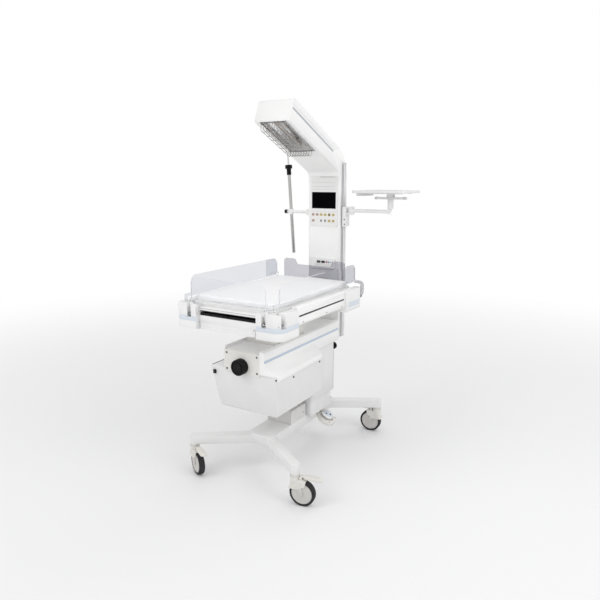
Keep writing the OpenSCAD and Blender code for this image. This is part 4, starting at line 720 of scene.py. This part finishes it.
# painted shadow along the rim's edges
for x, s in (((-70, 70), (6.4, 9.6)), ((-70, 70), (312.8, 315.6)), ((-70, -68.6), (8, 314)),
             ((67.9, 70.4), (8, 315)), ((75.4, 76.6), (6, 315))):
    heads.head_box(x, s, (-1.6, 2.4), "dark")
# parting line and stripe on each side
for d in SIDES:
    heads.head_box((d*100.6, d*101.2), (2, 440), (84, 84.8), "seam")
for d in SIDES:
    heads.head_box((d*100.2, d*101.1), (6, 454), (60, 71), "head_stripe")
heads.done(32)

heater = Piece("heater_ends", "carriage", "quartz")
for x in (-HEATER_X, HEATER_X):
    for s in (24, 298):
        heater.lathe([(7.2, -3), (9.0, -2), (9.0, 2), (7.2, 3)], head(x, s, HEATER_T), HEATER_AXIS, 20,
                     "plastic_white")
    for i in range(34):
        at = head(x, 32 + 7.7*i, HEATER_T)
        heater.lathe([(6.5, -1.2), (7.3, -0.4), (7.3, 0.4), (6.5, 1.2)], at, HEATER_AXIS, 14)
heater.done(40)

clips = Piece("guard_clips", "carriage", "steel_brushed")
for s in (14, 308):
    for x in (-71, 71):
        clips.lathe([(4, 0), (4, 1.6), (3, 2.2)], head(x, s, -2.4), (0, -HEAD_S, -HEAD_C), 16)
clips.done(32)

# ---------------------------------------------------------------- bed
bed = Piece("bed_fittings", "bed", "plastic_white")
for s in SIDES:
    bed.lathe([(4.8, 0), (4.8, 2), (3.8, 3), (0, 3.3)], (s*302, -530, 878), (s, 0, 0), 20)
for x in (-172, 152):
    bed.rbox((x - 7, -562, 802), (x + 7, -555.4, 838), 1.8, "plastic_grey")
    bed.rbox((x - 4, -564, 808), (x + 4, -561, 832), 1.2)
bed.rbox((-161, -557.6, 890.2), (161, -555.2, 892.2), 0.8, "dark")
for s in SIDES:
    bed.side_box(s, (281.6, 295.3), (-417.6, 25.6), (884.8, 892.2), 0.3, "dark")
    for y in (-380, -160, 0):
        bed.screw((s*296, y, 857), (s, 0, 0), 2.8, 1.4)
bed.rbox((-300, -557.4, 901.6), (300, -556.2, 902.2), 0.2, "dark")
bed.done(32)

# covers on the panels' front legs, and a tinted strip at the rear corner of each side panel
STRIP_W, STRIP_LOW, STRIP_TOP, STRIP_R = 108, 948, 1043, 34
LEG_Y = -548

for k, s, tint in (("right", 1, "violet_pale"), ("left", -1, "acrylic")):
    covers = Piece("side_panel_%s_covers" % k, "side_panel_" + k, "plastic_white")
    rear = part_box("side_panel_" + k)[1].y*1000 - 13
    outline = [(rear - STRIP_W, STRIP_LOW), (rear, STRIP_LOW)]
    for i in range(11):
        a = math.radians(9*i)
        outline.append((rear - STRIP_R + STRIP_R*math.cos(a), STRIP_TOP - STRIP_R + STRIP_R*math.sin(a)))
    outline.append((rear - STRIP_W, STRIP_TOP))
    strip = Piece("side_panel_%s_stiffener" % k, "side_panel_" + k, tint)
    strip.loft([[(s*x, y, z) for y, z in outline] for x in (254.8, 255.6)])
    strip.done(32)
    covers.side_box(s, (248.2, 255.8), (LEG_Y - 9, LEG_Y + 9), (878, 926), 1.6)
    covers.screw((s*255.8, LEG_Y, 914), (s, 0, 0), 2.6, 1.3)
    covers.lathe([(9.2, 0), (9.2, 1.4), (7.8, 2.4), (0, 2.6)], (s*284, 247, 870), BACK, 24)
    covers.done(32)

covers = Piece("foot_panel_covers", "foot_panel", "plastic_white")
for x, pin_x in ((-212, -216), (212, 216)):
    covers.rbox((x - 9, -559.8, 878), (x + 9, -552.2, 926), 1.6)
    covers.lathe([(3.6, 0), (3.6, 0.8), (2.8, 1.4), (0, 1.5)], (pin_x, -577.8, 869), FRONT, 16, "screw")
    covers.screw((x, -559.8, 912), FRONT, 2.6, 1.3)
covers.done(32)

# ---------------------------------------------------------------- base
base = Piece("base_fittings", "base", "steel_white")
for cx, cy, heading in CASTERS.values():
    base.lathe([(24.0, 0), (24.6, 0.8), (24.6, 2.4), (24.0, 3.2)], (cx, cy, LEG_Z + 1), UP, 36)
# power box: plate over the vents on the right, and a screw on each side
box_lo, box_hi = [v*1000 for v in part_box("power_box")]
base.rbox((74.2, box_lo.y + 54, box_lo.z + 12), (75.5, box_lo.y + 115, box_hi.z - 14), 0.5, "box_grey")
for s in (1, -1):
    base.screw((s*75, -10, 242), (s, 0, 0), 3.6, 1.8)
# plug in the right side of the spine, and screws on its back end
base.lathe([(4.2, -1), (4.2, 1.2), (3.4, 1.8), (0, 2)], (75, 141, 178), RIGHT, 16, "dark")
for x in (-60, 60):
    base.screw((x, 330, 212), UP, 4.2, 2.0, hexagon=True)
# mains inlet on the left of the power box: its collar and pins
base.slab(rrect(36, 28, 4, 4), (-77.0, -109, 244), FRONT, UP, 1.2, 0.5, "plastic_grey")
for y in (-116, -109, -102):
    base.rbox((-74, y - 1, 241), (-62, y + 1, 247), 0.4, "screw")
# flange round the foot of the fixed column
for x0, x1, y0, y1 in ((-110, 110, 25, 28.5), (-110, 110, 251.5, 255), (-110, -107, 27, 253), (107, 110, 27, 253)):
    base.rbox((x0, y0, 212), (x1, y1, 218), 1.2)
base.done(32)

arrows = Piece("foot_arrows", "foot_rocker", "symbol")
# the two halves of the rocker's label dip towards its middle
dip = math.atan2(4, 41)
for d in SIDES:
    u = Vector((SWITCH_C, 0, -SWITCH_S))*d
    v = Vector((math.sin(dip)*SWITCH_S, d*math.cos(dip), math.sin(dip)*SWITCH_C))
    half = [(29.5*math.cos(a*math.pi/14), 0.4 + 30*math.sin(a*math.pi/14)) for a in range(15)]
    arrows.slab(half, switch(51, 0, 7.5), u, v, 1.1, 0.3, "pale_blue")
    arrows.slab([(-9, -7), (9, -7), (0, 8)], switch(51 + 9*d, 10*d, 9.2), u, v, 0.9, 0.3)
arrows.done(32)

boot = Piece("foot_switch_trim", "base", "plastic_white")
boot.lathe([(51.9, 0), (52.5, 0.6), (52.5, 2.0), (51.9, 2.6)], switch(52, 0, -18), SWITCH_AXIS, 56)
for y in (-34, 34):
    boot.screw(switch(88, y, -8), SWITCH_AXIS, 3.0, 1.4)
boot.done(32)

# ---------------------------------------------------------------- casters
RIM = [(49.5, -2.6), (49.5, -1.2), (47, -0.4), (44.5, -0.8), (43.6, -1.4), (41, -1.2), (20, 0.6), (17, 0.9),
       (15, 0.2), (0, 0.2)]
TREADS, TREAD_R = 60, 61.2

for k, (cx, cy, heading) in CASTERS.items():
    c, s = math.cos(math.radians(heading)), math.sin(math.radians(heading))

    def local(x, y, z):
        """A point in the caster's own frame: along its heading, across it, and above the floor."""
        return (cx + x*c - y*s, cy + x*s + y*c, z)

    outward = {d: tuple(d*v for v in (-s, c, 0)) for d in SIDES}
    wheel = Piece("wheel_%s_caps" % k, "wheel_" + k, "hub_grey")
    for d in SIDES:
        wheel.lathe(RIM, local(TRAIL, d*16.2, AXLE_Z), outward[d], 48)
    for i in range(TREADS):
        a = TURN*i/TREADS
        for d in SIDES:
            at = local(TRAIL + TREAD_R*math.cos(a), d*11.5, AXLE_Z + TREAD_R*math.sin(a))
            wheel.lathe([(1.3, -0.6), (1.3, 0.3), (0.8, 0.6)], at, (math.cos(a)*c, math.cos(a)*s, math.sin(a)), 6,
                        "tyre_rubber")
    wheel.done(40)

    fork = Piece("fork_%s_fittings" % k, "fork_" + k, "hub_grey")
    for d in SIDES:
        fork.lathe([(8.4, 0), (8.4, 1.0), (7.2, 2.2), (0, 2.6)], local(TRAIL, d*21.0, AXLE_Z), outward[d], 28)
    for z in (142, 146.5, 151):
        fork.lathe([(23.7, 0), (24.35, 0.3), (24.35, 0.9), (23.7, 1.2)], (cx, cy, z), UP, 40, "seam")
    fork.done(32)

    grip = Piece("brake_%s_grip" % k, "brake_" + k, "ivory")
    for x in range(72, 128, 8):
        z = 149.3 - (x - 46)*0.0375
        grip.tube([local(x, -11, z), local(x + 0.6, 0, z + 0.2), local(x, 11, z)], 1.1, 8)
    grip.done(40)

# ---------------------------------------------------------------- room, light and camera
FLOOR_SIDES = 64

bm = bmesh.new()
centre = bm.verts.new((0, 0, 0))
rings = [[bm.verts.new((x, y, 0)) for x, y in disc(r, FLOOR_SIDES)] for r in (1.0, 3.0, 8.0, 30.0)]
for i in range(FLOOR_SIDES):
    j = (i + 1) % FLOOR_SIDES
    bm.faces.new((centre, rings[0][i], rings[0][j]))
    for a, b in zip(rings, rings[1:]):
        bm.faces.new((a[i], b[i], b[j], a[j]))
floor = bpy.data.meshes.new("floor")
bm.to_mesh(floor)
bm.free()
floor_o = bpy.data.objects.new("floor", floor)
bpy.context.scene.collection.objects.link(floor_o)


def larger(tree, a, b):
    return add_node(tree, "Math", {0: a, 1: b}, operation="MAXIMUM").outputs[0]


# The floor is grey underfoot and turns to plain white further out, for rays that come from the camera
floor_mat = bpy.data.materials.new("studio_floor")
floor_mat.use_nodes = True
tree = floor_mat.node_tree
ground = tree.nodes["Principled BSDF"]
ground.inputs["Base Color"].default_value = (0.825, 0.825, 0.83, 1)
ground.inputs["Roughness"].default_value = 0.55
ground.inputs["Specular IOR Level"].default_value = 0.2
white = add_node(tree, "Emission", {"Color": (1, 1, 1, 1), "Strength": 1.0})
spot = add_node(tree, "TexCoord").outputs["Object"]
reach = add_node(tree, "VectorMath", {0: spot}, operation="LENGTH").outputs["Value"]
away = add_node(tree, "MapRange", {"Value": reach, "From Min": 0.9, "From Max": 5.5},
                interpolation_type="SMOOTHSTEP").outputs["Result"]
rays = add_node(tree, "LightPath").outputs
seen = larger(tree, rays["Is Camera Ray"], larger(tree, rays["Is Glossy Ray"], rays["Is Transmission Ray"]))
share = add_node(tree, "Math", {0: away, 1: seen}, operation="MULTIPLY").outputs[0]
blend = add_node(tree, "MixShader", {0: share, 1: ground.outputs[0], 2: white.outputs[0]})
tree.links.new(blend.outputs[0], tree.nodes["Material Output"].inputs["Surface"])
floor.materials.append(floor_mat)

# The room is white to the camera, also through the panels, and lights the object a little less
world = bpy.data.worlds.new("studio")
bpy.context.scene.world = world
world.use_nodes = True
tree = world.node_tree
rays = add_node(tree, "LightPath").outputs
seen = larger(tree, rays["Is Camera Ray"], rays["Is Transmission Ray"])
strength = add_node(tree, "MapRange", {"Value": seen, "To Min": 0.825, "To Max": 1.0}).outputs["Result"]
backdrop = tree.nodes["Background"]
backdrop.inputs["Color"].default_value = (1, 1, 1, 1)
tree.links.new(strength, backdrop.inputs["Strength"])


def lamp(name, at, target, size, power):
    d = bpy.data.lights.new(name, "AREA")
    d.shape = "DISK"
    d.size = size
    d.energy = power
    o = bpy.data.objects.new(name, d)
    o.location = at
    o.rotation_euler = (Vector(target) - Vector(at)).to_track_quat("-Z", "Y").to_euler()
    bpy.context.scene.collection.objects.link(o)


lamp("key", (-1.6, -3.4, 3.6), (0, 0, 0.9), 2.2, 38)
lamp("fill", (2.4, -0.5, 2.5), (0, 0, 1.1), 1.8, 20)
lamp("front", (0.4, -3.8, 1.6), (0, 0, 1.2), 2.5, 8)
lamp("back", (0.6, 3.2, 3.2), (0, 0, 1.1), 2.2, 14)

# Fitted to the photograph's view
cam = bpy.data.cameras.new("camera")
cam.lens = 34.59
cam.sensor_width = 36
cam_o = bpy.data.objects.new("camera", cam)
cam_o.location = (1.5986, -2.566, 1.4825)
cam_o.rotation_euler = (math.radians(78.35), 0, math.radians(31.15))
bpy.context.scene.collection.objects.link(cam_o)
bpy.context.scene.camera = cam_o
bpy.context.scene.view_settings.view_transform = "Standard"
